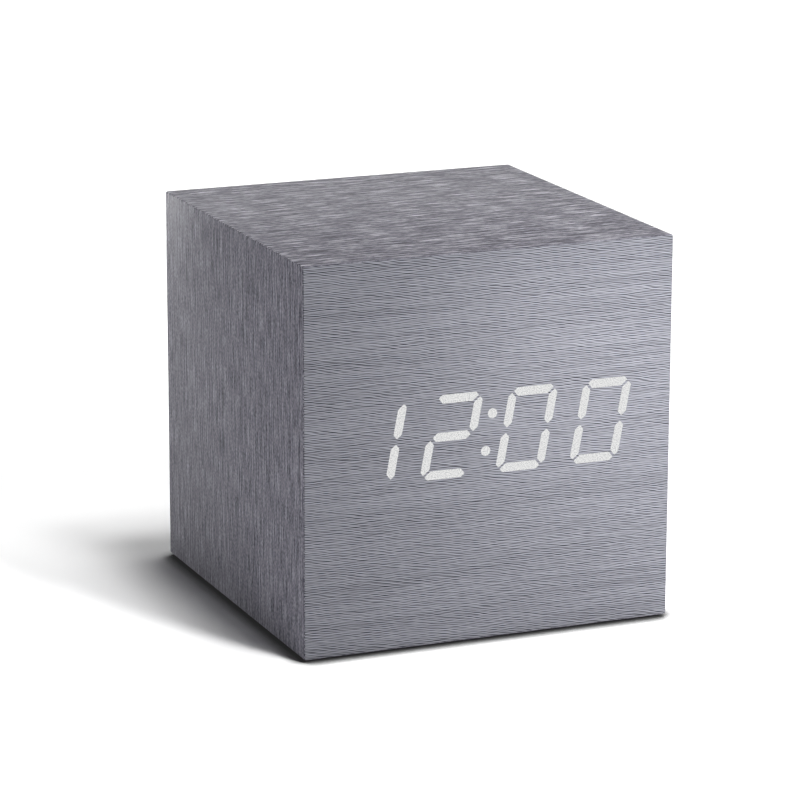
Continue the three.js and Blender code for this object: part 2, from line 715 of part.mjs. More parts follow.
// Rear cover: one moulding with the battery tray, the door's recess, the bosses and the hooks
function addRearCover() {
  const plate = block(around(0, coverHalf), [coverInner, coverOuter], [coverBottom, coverTop]);
  const trayOuter = block(around(0, trayHalf + trayWall), [trayFloor - trayWall, coverInner + overrun],
    [trayBottom - trayWall, trayTop + trayWall]);
  const bosses = [leftBossX, rightBossX].map((x) => rodY(bossDiameter, x, controlZ, controlRear,
    coverInner + overrun, smallRoundSides));
  const hooks = around(0, hookSpread).map((x) => block(around(x, hookWidth / 2),
    [coverInner - hookDepth, coverInner], [coverBottom - hookDrop, trayBottom - trayWall / 2]));
  const trayInside = block(around(0, trayHalf), [trayFloor, coverOuter + overrun], [trayBottom, trayTop]);
  const doorRecess = block(around(0, recessHalf), [doorInner, coverOuter + overrun],
    [recessBottom, recessTop]);
  const tabHalf = doorTabWidth / 2 + doorTabSideFit;
  const tabSlots = around(0, doorTabSpread).map((x) => block(around(x, tabHalf),
    [coverInner - doorTabFit, doorInner + doorTabThickness + doorTabFit],
    [coverBottom - overrun, trayBottom + overrun]));
  const contactSlots = [0, cellCount - 1].map((row) => block(
    [-trayHalf, -trayHalf + contactSpace + contactSlotFit],
    [trayFloor - trayWall - overrun, trayFloor + overrun],
    [rowZ(row) - contactTabWidth / 2 - contactSlotFit, rowZ(row) + contactTabWidth / 2 + contactSlotFit],
  ));
  const buttonHoles = buttonPlaces().map((x) => rodY(buttonDiameter + 2 * buttonFit, x, controlZ,
    coverInner - overrun, coverOuter + overrun));
  const [slotX, slotZ] = knobSlotRanges();
  const knobSlot = block(slotX, [coverInner - overrun, coverOuter + overrun], slotZ);
  const jackHole = rodY(jackNoseDiameter + 2 * jackNoseFit, jackX, controlZ, coverInner - overrun,
    coverOuter + overrun);
  const pilotEnd = controlRear + boardScrewLength - circuitThickness + pilotExtraDepth;
  const pilotDiameter = boardScrewDiameter + 2 * pilotClearance;
  const pilots = [leftBossX, rightBossX].map((x) => rodY(pilotDiameter, x, controlZ, controlRear - overrun,
    pilotEnd, smallRoundSides));
  const screwHoles = around(0, 1).flatMap((side) => [
    rodY(coverScrewDiameter + screwClearance, side * coverScrewX, coverScrewZ, coverInner - overrun,
      coverOuter, smallRoundSides),
    rodY(coverScrewHeadDiameter + 2 * coverScrewRecessFit, side * coverScrewX, coverScrewZ,
      coverOuter - coverScrewHeadHeight, coverOuter + overrun),
  ]);
  const fingerNotch = block(around(0, fingerNotchWidth / 2),
    [coverOuter - fingerNotchDepth, coverOuter + overrun],
    [recessTop - overrun, recessTop + fingerNotchHeight]);
  const cuts = [trayInside, doorRecess, ...tabSlots, ...contactSlots, ...buttonHoles, knobSlot, jackHole,
    ...pilots, ...screwHoles, fingerNotch];
  const joined = [plate, trayOuter, ...bosses, ...hooks];
  addPiece("rear_cover", carve(joined, cuts, cradleRibs()), "blackPlastic");
}

// Middle height of a battery's row, counted from the top
function rowZ(row) {
  return trayTop - cellPitch * (row + 0.5);
}

// Low ribs on the tray's floor, one between each two batteries
function cradleRibs() {
  const ribs = [];
  for (let i = 1; i < cellCount; i += 1) {
    const z = trayTop - cellPitch * i;
    const outline = [[trayFloor - overrun, z - cradleRibWidth / 2], [trayFloor, z - cradleRibWidth / 2],
      [trayFloor + cradleRibHeight, z], [trayFloor, z + cradleRibWidth / 2],
      [trayFloor - overrun, z + cradleRibWidth / 2]];
    ribs.push(prism("x", outline, -cradleRibLength / 2, cradleRibLength / 2));
  }
  return ribs;
}

// Battery door: a plate with two lower tabs, a sprung latch tongue and grip grooves
function addBatteryDoor() {
  const half = recessHalf - doorFit;
  const plate = block(around(0, half), [doorInner, coverOuter], [doorBottom, doorTop]);
  const tabs = around(0, doorTabSpread).map((x) => block(around(x, doorTabWidth / 2),
    [doorInner, doorInner + doorTabThickness], [doorBottom - doorTabDrop, doorBottom + overrun]));
  const slots = around(0, 1).map((side) => {
    const middle = side * (latchWidth + latchSlot) / 2;
    return block(around(middle, latchSlot / 2), [doorInner - overrun, coverOuter + overrun],
      [doorTop - latchHeight, doorTop + overrun]);
  });
  const grips = [];
  for (let i = 0; i < gripCount; i += 1) {
    const z = doorTop - latchHeight / 2 + (i - (gripCount - 1) / 2) * gripPitch;
    grips.push(block([latchSlot - latchWidth / 2, latchWidth / 2 - latchSlot],
      [coverOuter - gripDepth, coverOuter + overrun], around(z, gripWidth / 2)));
  }
  addPiece("battery_door", carve([plate, ...tabs], [...slots, ...grips]), "blackPlastic");
}

// Screws through the cover into the corner blocks, with a cross in the head
function addCoverScrews() {
  const head = coverScrewHeadDiameter / 2;
  const shaft = coverScrewDiameter / 2;
  const seat = coverOuter - coverScrewHeadHeight;
  around(0, 1).forEach((side, i) => {
    const x = side * coverScrewX;
    const body = turned("y", [[0, seat - coverScrewLength], [shaft, seat - coverScrewLength], [shaft, seat],
      [head, seat], [head, coverOuter], [0, coverOuter]], [x, 0, coverScrewZ], smallRoundSides);
    const reach = head * crossShare;
    const cross = [[reach, crossWidth / 2], [crossWidth / 2, reach]].map(([a, b]) => block(around(x, a),
      [coverOuter - crossDepth, coverOuter + overrun], around(coverScrewZ, b)));
    addPiece(`cover_screw_${i + 1}`, carve([body], cross), "steel");
  });
}

// Batteries in series, so each one points the other way from the one above it
function addCells() {
  const radius = cellDiameter / 2;
  const nub = cellNubDiameter / 2;
  const half = cellLength / 2;
  const shoulder = half - cellNubLength;
  const profile = [[0, -half], [radius - cellEdge, -half], [radius, cellEdge - half],
    [radius, shoulder - cellEdge], [radius - cellEdge, shoulder], [nub, shoulder], [nub, half], [0, half]];
  for (let row = 0; row < cellCount; row += 1) {
    const side = row % 2 === 0 ? -1 : 1;
    const body = turned("x", profile, [0, 0, 0]);
    if (side < 0) {
      body.rotateZ(Math.PI);
    }
    const x = side * (trayHalf - contactSpace - contactBump - cellPlay - half);
    addPiece(`cell_${row + 1}`, body.translate(x, cellY, rowZ(row)), "cellJacket");
  }
}

// One battery contact: a plate on the tray's end wall with a bump or a spring for each battery it meets
function contact(side, ends, hasTab) {
  const outerX = trayHalf - contactFit;
  const innerX = outerX - contactThickness;
  const xRange = side < 0 ? [-outerX, -innerX] : [innerX, outerX];
  const rows = ends.map(([row]) => rowZ(row));
  const plate = block(xRange, [trayFloor + cellLift, trayFloor + cellLift + contactDepth],
    [Math.min(...rows) - contactWidth / 2, Math.max(...rows) + contactWidth / 2]);
  const shapes = ends.map(([row, kind]) => {
    const profile = kind === "spring" ? springProfile() : bumpProfile();
    const shape = turned("x", profile, [0, 0, 0], smallRoundSides);
    if (side > 0) {
      shape.rotateZ(Math.PI);
    }
    return shape.translate(side * innerX, cellY, rowZ(row));
  });
  const tab = block(xRange, [trayFloor - trayWall - contactTabReach, trayFloor + cellLift + overrun],
    around(rows[0], contactTabWidth / 2));
  return carve(hasTab ? [plate, ...shapes, tab] : [plate, ...shapes]);
}

function bumpProfile() {
  const radius = contactBumpDiameter / 2;
  return [[0, -contactThickness / 2], [radius, -contactThickness / 2], [radius, contactBump / 2],
    [radius / 2, contactBump], [0, contactBump]];
}

// A conical spring, pressed by its battery, as a ridge for each turn
function springProfile() {
  const profile = [[0, -contactThickness / 2]];
  const rise = springLength / springTurns;
  for (let turn = 0; turn < springTurns; turn += 1) {
    const share = turn / (springTurns - 1);
    const radius = (springWideDiameter + share * (springTipDiameter - springWideDiameter)) / 2;
    const start = turn === 0 ? -contactThickness / 2 : turn * rise;
    profile.push([radius - springWire / 2, start], [radius, (turn + 0.5) * rise]);
  }
  profile.push([(springTipDiameter - springWire) / 2, springLength], [0, springLength]);
  return profile;
}

function addContacts() {
  addPiece("plate_terminal", contact(-1, [[0, "bump"]], true), "steel");
  addPiece("spring_terminal", contact(-1, [[cellCount - 1, "spring"]], true), "steel");
  for (let row = 0; row < cellCount - 1; row += 1) {
    const side = row % 2 === 0 ? 1 : -1;
    const link = contact(side, [[row, "spring"], [row + 1, "bump"]], false);
    addPiece(`link_contact_${row + 1}`, link, "steel");
  }
}

// Each wire's shares of the way across and up from its contact to the control board, and of the bulge
const wireRouteShares = [[0, 0, 0], [0.01, 0.01, 0.35], [0.08, 0.1, 0.8], [0.35, 0.35, 1], [0.7, 0.78, 1],
  [0.93, 0.97, 0.6], [1, 1, 0.3], [1, 1, 0]];

function addBatteryWire(name, row, endX, finish) {
  const start = [-trayHalf + contactFit + contactThickness / 2,
    trayFloor - trayWall - contactTabReach - wireGap, rowZ(row)];
  const end = [endX, controlFront - wireGap, controlZ];
  const points = wireRouteShares.map(([across, up, bulge]) => new THREE.Vector3(
    start[0] + across * (end[0] - start[0]),
    start[1] + across * (end[1] - start[1]) - bulge * wireBulge,
    start[2] + up * (end[2] - start[2]),
  ));
  const section = [];
  for (let i = 0; i < wireSides; i += 1) {
    const angle = (2 * Math.PI * i) / wireSides;
    section.push(new THREE.Vector2(Math.cos(angle), Math.sin(angle)).multiplyScalar(wireDiameter / 2));
  }
  const path = new THREE.CatmullRomCurve3(points);
  const steps = 2 * points.length;
  addPiece(name, new THREE.ExtrudeGeometry(new THREE.Shape(section), { steps, extrudePath: path }), finish);
}

// Control board with a hole for each screw
function addControlBoard() {
  const board = block(around(0, controlBoardHalf), [controlFront, controlRear],
    around(controlZ, controlBoardHeight / 2));
  const places = [leftBossX, rightBossX];
  const holes = places.map((x) => rodY(boardScrewDiameter + screwClearance, x, controlZ,
    controlFront - overrun, controlRear + overrun, smallRoundSides));
  addPiece("control_board", carve([board], holes), "circuit");
  places.forEach((x, i) => {
    addPiece(`control_screw_${i + 1}`, boardScrew(x, controlZ, controlFront, -1), "steel");
  });
}

// A push button, the stem under it and the switch that the stem works
function addButtons() {
  const half = switchBodyWidth / 2;
  const cap = buttonDiameter / 2;
  const flange = buttonFlangeDiameter / 2;
  const top = coverOuter + buttonProud;
  const stemFoot = switchBodyTop - stemSunk;
  const profile = [[0, buttonFoot], [flange, buttonFoot], [flange, buttonFlangeTop], [cap, buttonFlangeTop],
    [cap, top - buttonChamfer], [cap - buttonChamfer, top], [0, top - buttonDish]];
  buttonPlaces().forEach((x, i) => {
    addPiece(`${buttonNames[i]}_button`, turned("y", profile, [x, 0, controlZ]), "blackPlastic");
    const stem = rodY(stemDiameter, x, controlZ, stemFoot, buttonFoot, smallRoundSides);
    addPiece(`${buttonNames[i]}_stem`, stem, "blackPlastic");
    const body = block(around(x, half), [controlRear, switchBodyTop], around(controlZ, half));
    const well = rodY(stemDiameter + 2 * stemFit, x, controlZ, stemFoot - buttonTravel - stemFit,
      switchBodyTop + overrun, smallRoundSides);
    addPiece(`${buttonNames[i]}_switch`, carve([body], [well]), "steel");
  });
}

// Slide switch and its knob, which rests at the left end of its travel
function addSlideSwitch() {
  const bodyTop = controlRear + slideBodyHeight;
  const foot = bodyTop - knobSunk;
  const body = block(around(slideX, slideBodyLength / 2), [controlRear, bodyTop],
    around(controlZ, slideBodyWidth / 2));
  const [slotX, slotZ] = knobSlotRanges();
  const slot = block(slotX, [foot - knobSlotSpare, bodyTop + overrun], slotZ);
  addPiece("slide_switch", carve([body], [slot]), "steel");
  const left = slideX - slideTravel / 2 - knobWidth / 2;
  const right = left + knobWidth;
  const top = coverOuter + knobProud;
  const outline = [[left, foot], [right, foot], [right, top]];
  for (let i = 0; i < knobNotchCount; i += 1) {
    const middle = right - (knobWidth * (i + 1)) / (knobNotchCount + 1);
    outline.push([middle + knobNotch, top], [middle, top - knobNotch], [middle - knobNotch, top]);
  }
  outline.push([left, top]);
  addPiece("switch_knob", prism("z", outline, ...around(controlZ, knobWidth / 2)), "blackPlastic");
}

// Power inlet with its centre pin
function addJack() {
  const shoulder = coverInner - jackShoulderGap;
  const floor = coverOuter - jackBoreDepth;
  const half = jackWidth / 2;
  const housing = block(around(jackX, half), [controlRear, shoulder], around(controlZ, half));
  const nose = rodY(jackNoseDiameter, jackX, controlZ, shoulder - overrun, coverOuter);
  const bore = rodY(jackBoreDiameter, jackX, controlZ, floor, coverOuter + overrun);
  addPiece("dc_jack", carve([housing, nose], [bore]), "blackPlastic");
  const pin = jackPinDiameter / 2;
  const tip = floor + jackPinLength;
  const profile = [[0, floor], [pin, floor], [pin, tip - pin], [pin / 2, tip], [0, tip]];
  addPiece("dc_pin", turned("y", profile, [jackX, 0, controlZ], smallRoundSides), "brass");
}

const windows = displayWindows();
addBoards();
addWrapFilm();
addRimFilm();
addFront(windows);
addFeet();
addDisplay(windows);
addDisplayParts();
addRibbon();
addCornerBlocks();
addRearCover();
addBatteryDoor();
addCoverScrews();
addCells();
addContacts();
addBatteryWire("battery_wire_red", 0, redWireX, "redWire");
addBatteryWire("battery_wire_black", cellCount - 1, blackWireX, "blackWire");
addControlBoard();
addButtons();
addSlideSwitch();
addJack();

export default clock;
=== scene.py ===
# A cube alarm clock: fibreboard case wrapped in a brushed metal-look film, lit digits behind the front
import math

import bmesh
import bpy
from mathutils import Matrix, Vector


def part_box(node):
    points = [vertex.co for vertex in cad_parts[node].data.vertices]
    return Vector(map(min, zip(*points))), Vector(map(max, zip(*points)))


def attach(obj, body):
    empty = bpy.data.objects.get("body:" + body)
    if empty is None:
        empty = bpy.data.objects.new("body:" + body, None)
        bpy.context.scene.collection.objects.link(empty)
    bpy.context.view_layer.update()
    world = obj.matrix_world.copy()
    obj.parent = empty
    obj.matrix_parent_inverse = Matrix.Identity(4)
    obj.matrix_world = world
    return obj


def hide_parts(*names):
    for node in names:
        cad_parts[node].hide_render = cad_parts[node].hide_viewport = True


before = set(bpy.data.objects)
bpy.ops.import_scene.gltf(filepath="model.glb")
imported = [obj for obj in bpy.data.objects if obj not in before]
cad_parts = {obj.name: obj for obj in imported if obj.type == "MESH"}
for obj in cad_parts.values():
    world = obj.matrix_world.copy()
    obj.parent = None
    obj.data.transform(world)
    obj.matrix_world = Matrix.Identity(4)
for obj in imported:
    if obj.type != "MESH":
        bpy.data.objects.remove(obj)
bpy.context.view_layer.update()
print("frame loaded")


metre = 1000  # in millimetres


def mm(value):
    return value / metre


def spot(*values):  # a place given in millimetres
    return Vector([mm(value) for value in values])


def linear(code):  # an sRGB hex colour as the linear colour that Blender works in
    shares = [int(code[i:i + 2], 16) / 255 for i in (1, 3, 5)]
    return [s / 12.92 if s <= 0.04045 else ((s + 0.055) / 1.055) ** 2.4 for s in shares] + [1]


# Modelling by hand: what is selected, where it goes, and what finishes it. Distances are in millimetres and
# angles in degrees. Straight and mostly are shares of an edge or a normal that point along an axis.
weldDistance = 0.0005
sameDistance = 0.001
flatAngle = 0.5
straight = 0.99
mostly = 0.7


def makeActive(piece):
    bpy.ops.object.select_all(action="DESELECT")
    piece.select_set(True)
    bpy.context.view_layer.objects.active = piece


def settle(piece, name):  # its place goes into its mesh, so that the object sits at the origin
    makeActive(piece)
    bpy.ops.object.transform_apply(location=True, rotation=True, scale=True)
    piece.name = name
    return piece


def boxBetween(name, low, high):  # corners in millimetres
    bpy.ops.object.select_all(action="DESELECT")
    middle = [mm(a + b) / 2 for a, b in zip(low, high)]
    size = [mm(b - a) for a, b in zip(low, high)]
    bpy.ops.mesh.primitive_cube_add(size=1, location=middle, scale=size)
    return settle(bpy.context.object, name)


def edit(piece):
    makeActive(piece)
    bpy.ops.object.mode_set(mode="EDIT")


def endEdit():
    bpy.ops.object.mode_set(mode="OBJECT")


def pick(piece, kind, test):  # selects the faces, edges or verts that pass the test, and nothing else
    bpy.ops.mesh.select_all(action="DESELECT")
    mesh = bmesh.from_edit_mesh(piece.data)
    mesh.normal_update()
    modes = ("verts", "edges", "faces")
    bpy.context.tool_settings.mesh_select_mode = [kind == mode for mode in modes]
    for part in getattr(mesh, kind):
        if test(part):
            part.select_set(True)
    mesh.select_flush_mode()
    bmesh.update_edit_mesh(piece.data)


def alongAxis(edge, axis):
    way = edge.verts[1].co - edge.verts[0].co
    return abs(way[axis]) > straight * way.length


def middleOf(part):
    return sum((vert.co for vert in part.verts), Vector()) / len(part.verts)


def useModifier(piece, kind, **settings):
    makeActive(piece)
    modifier = piece.modifiers.new(kind.lower(), kind)
    for name, value in settings.items():
        setattr(modifier, name, value)
    bpy.ops.object.modifier_apply(modifier=modifier.name)


def softEdges(piece, width, steps=2, angle=40, harden=False):
    useModifier(piece, "BEVEL", width=mm(width), segments=steps, limit_method="ANGLE",
                angle_limit=math.radians(angle), harden_normals=harden)


def smooth(piece, angle=35):
    makeActive(piece)
    bpy.ops.object.shade_smooth_by_angle(angle=math.radians(angle))


def joinPieces(name, pieces):
    makeActive(pieces[0])
    for piece in pieces[1:]:
        piece.select_set(True)
    bpy.ops.object.join()
    pieces[0].name = name
    return pieces[0]


def outwards(piece):
    edit(piece)
    bpy.ops.mesh.select_all(action="SELECT")
    bpy.ops.mesh.remove_doubles(threshold=mm(weldDistance))
    bpy.ops.mesh.normals_make_consistent(inside=False)
    endEdit()


def softCopy(node, name, width, angle=40):  # a moulded or pressed part's own softened edges
    piece = bpy.data.objects.new(name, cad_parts[node].data.copy())
    bpy.context.scene.collection.objects.link(piece)
    piece.data.materials.clear()
    edit(piece)
    bpy.ops.mesh.select_all(action="SELECT")
    bpy.ops.mesh.remove_doubles(threshold=mm(weldDistance))
    bpy.ops.mesh.customdata_custom_splitnormals_clear()
    bpy.ops.mesh.dissolve_limited(angle_limit=math.radians(flatAngle))
    endEdit()
    smooth(piece)
    softEdges(piece, width, angle=angle, harden=True)
    return piece


def dress(piece, body, material, nodes=()):
    if material is not None:
        piece.data.materials.clear()
        piece.data.materials.append(material)
    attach(piece, body)
    if nodes:
        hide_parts(*nodes)
    return piece


# Materials

def addNode(tree, kind, settings=None, links=None):
    node = tree.nodes.new(kind)
    for name, value in (settings or {}).items():
        if name == "stops":
            stops = node.color_ramp.elements
            stops.remove(stops[1])
            for i, (place, code) in enumerate(value):
                stop = stops.new(place) if i else stops[0]
                stop.position = place
                stop.color = linear(code)
        elif isinstance(name, int) or name in node.inputs:
            node.inputs[name].default_value = value
        else:
            setattr(node, name, value)
    for name, source in (links or {}).items():
        tree.links.new(source, node.inputs[name])
    return node


def newMaterial(name):
    material = bpy.data.materials.new(name)
    material.use_nodes = True
    material.node_tree.nodes.clear()
    return material, material.node_tree


def finishWith(tree, shader):
    addNode(tree, "ShaderNodeOutputMaterial", links={"Surface": shader.outputs[0]})


# Printed and brushed PVC film: the eye sees fine dashes of grain, slightly wavy, over a grey metal sheen.
# The real grooves are about 0.3 mm apart, too fine to show, so they are drawn 0.42 mm apart. Lengths and
# widths are in millimetres, and turns in degrees from the grain. A layer goes from its dark to its light
# as the noise goes from low to high, where mean is the usual share of light: even takes the noise's usual
# range, and the peaks set only its peaks, which on the top are light dashes of grain with a painted glint
# on them. Plain film has the colour in the middle of the ramp, and each pattern is shifted by its own
# number of steps, so that no two fall alike.
filmSurface = {"metallic": 0.1, "roughness": 0.48, "specular": 0.12, "relief": 0.004, "wave": 0.4,
               "waveSize": (22, 9, 1), "middle": 0.5, "patternStep": (31.7, 17.3, 0), "swayShift": 7,
               "dashShift": 11}
even = {"low": 0.3, "high": 0.7, "mean": 0.5}
# Peaks only: the top's sparse light dashes, partly grain and partly painted glint
grainAndGlintPeaks = {"low": 0.54, "high": 0.78, "mean": 0.15}
filmLooks = {
    "front": {
        "ramp": ((0.0, "#2a2b30"), (0.3, "#6f7078"), (0.5, "#94959d"), (0.7, "#a5a6b0"), (1.0, "#bbbcc6")),
        "lines": (
            {"pitch": 0.42, "turn": -11, "sway": 1.4, "swayLength": 6, "swayWidth": 2, "weight": 0.32,
             "dash": 6, "dashWidth": 0.6, "faintest": 0.3},
            {"pitch": 0.46, "turn": 3, "sway": 1.2, "swayLength": 20, "swayWidth": 4, "weight": 0.22,
             "dash": 12, "dashWidth": 0.6, "faintest": 0.3},
        ),
        "layers": (
            {"length": 2.4, "width": 0.14, "turn": -11, "weight": 0.14, **even},
            {"length": 60, "width": 0.3, "turn": 0.5, "weight": 0.1, **even},
            {"length": 60, "width": 4, "turn": 0, "weight": 0.05, **even},
        ),
    },
    "side": {
        "ramp": ((0.0, "#37363f"), (0.3, "#676672"), (0.5, "#868490"), (0.7, "#a09eab"), (1.0, "#d0ceda")),
        "lines": (),
        "layers": (
            {"length": 4.5, "width": 0.3, "turn": 0, "weight": 0.4, **even},
            {"length": 0.6, "width": 0.26, "turn": 0, "weight": 0.3, **even},
            {"length": 25, "width": 0.4, "turn": 0, "weight": 0.24, **even},
        ),
    },
    # Top: its light dashes carry painted glints, which is why its ramp ends near white
    "top": {
        "ramp": ((0.0, "#4b4953"), (0.3, "#777580"), (0.5, "#8a8893"), (0.7, "#aaa8b3"), (1.0, "#e9e7f0")),
        "lines": (),
        "layers": (
            {"length": 7, "width": 0.34, "turn": 0, "weight": 0.95, **grainAndGlintPeaks},
            {"length": 8, "width": 0.4, "turn": 0.5, "weight": 0.55, **even},
            {"length": 1.2, "width": 0.28, "turn": 0, "weight": 0.35, **even},
        ),
    },
}


def brushedFilm(name, look):
    material, tree = newMaterial(name)
    grain = addNode(tree, "ShaderNodeUVMap", {"uv_map": "grain"})
    broad = addNode(tree, "ShaderNodeMapping", {
        "vector_type": "TEXTURE", "Scale": filmSurface["waveSize"]}, {"Vector": grain.outputs["UV"]})
    drift = addNode(tree, "ShaderNodeTexNoise", {"noise_dimensions": "2D", "Scale": 1, "Detail": 1},
                    {"Vector": broad.outputs[0]})
    swing = addNode(tree, "ShaderNodeVectorMath", {
        "operation": "MULTIPLY", 1: (0, filmSurface["wave"], 0)}, {0: drift.outputs["Fac"]})
    wavy = addNode(tree, "ShaderNodeVectorMath", {"operation": "ADD"},
                   {0: grain.outputs["UV"], 1: swing.outputs[0]})

    def turned(turn, length, width, shift):
        return addNode(tree, "ShaderNodeMapping", {
            "vector_type": "TEXTURE", "Location": [shift * step for step in filmSurface["patternStep"]],
            "Rotation": (0, 0, math.radians(turn)), "Scale": (length, width, 1)},
            {"Vector": wavy.outputs[0]})

    def noiseAt(place):
        return addNode(tree, "ShaderNodeTexNoise", {"noise_dimensions": "2D", "Scale": 1, "Detail": 1},
                       {"Vector": place.outputs[0]})

    shapes = []
    for i, lines in enumerate(look["lines"]):  # evenly spaced grooves that sway and break up into dashes
        across = addNode(tree, "ShaderNodeSeparateXYZ", links={
            "Vector": turned(lines["turn"], 1, lines["pitch"], 0).outputs[0]})
        sway = noiseAt(turned(lines["turn"], lines["swayLength"], lines["swayWidth"],
                               i + filmSurface["swayShift"]))
        phase = addNode(tree, "ShaderNodeMath", {"operation": "MULTIPLY_ADD", 1: lines["sway"]},
                        {0: sway.outputs["Fac"], 2: across.outputs["Y"]})
        angle = addNode(tree, "ShaderNodeMath", {"operation": "MULTIPLY", 1: 2 * math.pi},
                        {0: phase.outputs[0]})
        ridge = addNode(tree, "ShaderNodeMath", {"operation": "SINE"}, {0: angle.outputs[0]})
        dash = noiseAt(turned(lines["turn"], lines["dash"], lines["dashWidth"],
                               i + filmSurface["dashShift"]))
        fade = addNode(tree, "ShaderNodeMapRange", {
            "interpolation_type": "SMOOTHSTEP", "From Min": even["low"], "From Max": even["high"],
            "To Min": lines["faintest"] * lines["weight"], "To Max": lines["weight"]},
            {"Value": dash.outputs["Fac"]})
        shapes.append(addNode(tree, "ShaderNodeMath", {"operation": "MULTIPLY"},
                              {0: ridge.outputs[0], 1: fade.outputs[0]}))
    for i, layer in enumerate(look["layers"]):
        noise = noiseAt(turned(layer["turn"], layer["length"], layer["width"], i + 1))
        shapes.append(addNode(tree, "ShaderNodeMapRange", {
            "interpolation_type": "SMOOTHSTEP", "From Min": layer["low"], "From Max": layer["high"],
            "To Min": -layer["weight"] * layer["mean"], "To Max": layer["weight"] * (1 - layer["mean"])},
            {"Value": noise.outputs["Fac"]}))
    total = addNode(tree, "ShaderNodeMath", {"operation": "ADD", 1: filmSurface["middle"]},
                    {0: shapes[0].outputs[0]})
    for shape in shapes[1:]:
        total = addNode(tree, "ShaderNodeMath", {"operation": "ADD"},
                        {0: total.outputs[0], 1: shape.outputs[0]})
    ramp = addNode(tree, "ShaderNodeValToRGB", {"stops": look["ramp"]}, {"Fac": total.outputs[0]})
    bump = addNode(tree, "ShaderNodeBump", {"Strength": 1, "Distance": mm(filmSurface["relief"])},
                   {"Height": total.outputs[0]})
    shader = addNode(tree, "ShaderNodeBsdfPrincipled", {
        "Metallic": filmSurface["metallic"], "Roughness": filmSurface["roughness"],
        "Specular IOR Level": filmSurface["specular"]},
        {"Base Color": ramp.outputs[0], "Normal": bump.outputs[0]})
    finishWith(tree, shader)
    return material


# Everything moulded, sawn, drawn or sheathed: a mottled colour and a fine grain, both in millimetres. What
# a finish doesn't say for itself is as usual.
grainedUsual = {"stretch": (1, 1, 1), "grainShare": 0.5, "darkAt": 0.45, "lightAt": 0.95,
                "glossSpread": 0.06, "metallic": 0, "ior": 1.5, "glow": 0, "glowDepth": 1}


def grained(name, look):
    look = {**grainedUsual, **look}
    material, tree = newMaterial(name)
    place = addNode(tree, "ShaderNodeTexCoord")
    stretched = addNode(tree, "ShaderNodeMapping", {
        "vector_type": "TEXTURE", "Scale": look["stretch"]},
        {"Vector": place.outputs["Object"]})
    grain = addNode(tree, "ShaderNodeTexNoise", {
        "Scale": metre / look["grain"], "Detail": 3, "Roughness": 0.6}, {"Vector": stretched.outputs[0]})
    mottle = addNode(tree, "ShaderNodeTexNoise", {
        "Scale": metre / look["mottle"], "Detail": 2}, {"Vector": place.outputs["Object"]})
    mixed = addNode(tree, "ShaderNodeMath", {"operation": "MULTIPLY_ADD", 1: look["grainShare"]},
                    {0: grain.outputs["Fac"], 2: mottle.outputs["Fac"]})
    ramp = addNode(tree, "ShaderNodeValToRGB", {
        "stops": ((look["darkAt"], look["dark"]), (look["lightAt"], look["light"]))},
        {"Fac": mixed.outputs[0]})
    gloss = addNode(tree, "ShaderNodeMapRange", {
        "From Min": even["low"], "From Max": even["high"], "To Min": look["roughness"] - look["glossSpread"],
        "To Max": look["roughness"] + look["glossSpread"]}, {"Value": grain.outputs["Fac"]})
    bump = addNode(tree, "ShaderNodeBump", {"Strength": 1, "Distance": mm(look["relief"])},
                   {"Height": grain.outputs["Fac"]})
    settings = {"Metallic": look["metallic"]}
    if not look["metallic"]:
        settings["IOR"] = look["ior"]
    if look["glow"]:
        settings["Subsurface Weight"] = look["glow"]
        settings["Subsurface Scale"] = mm(look["glowDepth"])
    shader = addNode(tree, "ShaderNodeBsdfPrincipled", settings, {
        "Base Color": ramp.outputs[0], "Roughness": gloss.outputs[0], "Normal": bump.outputs[0]})
    finishWith(tree, shader)
    return material


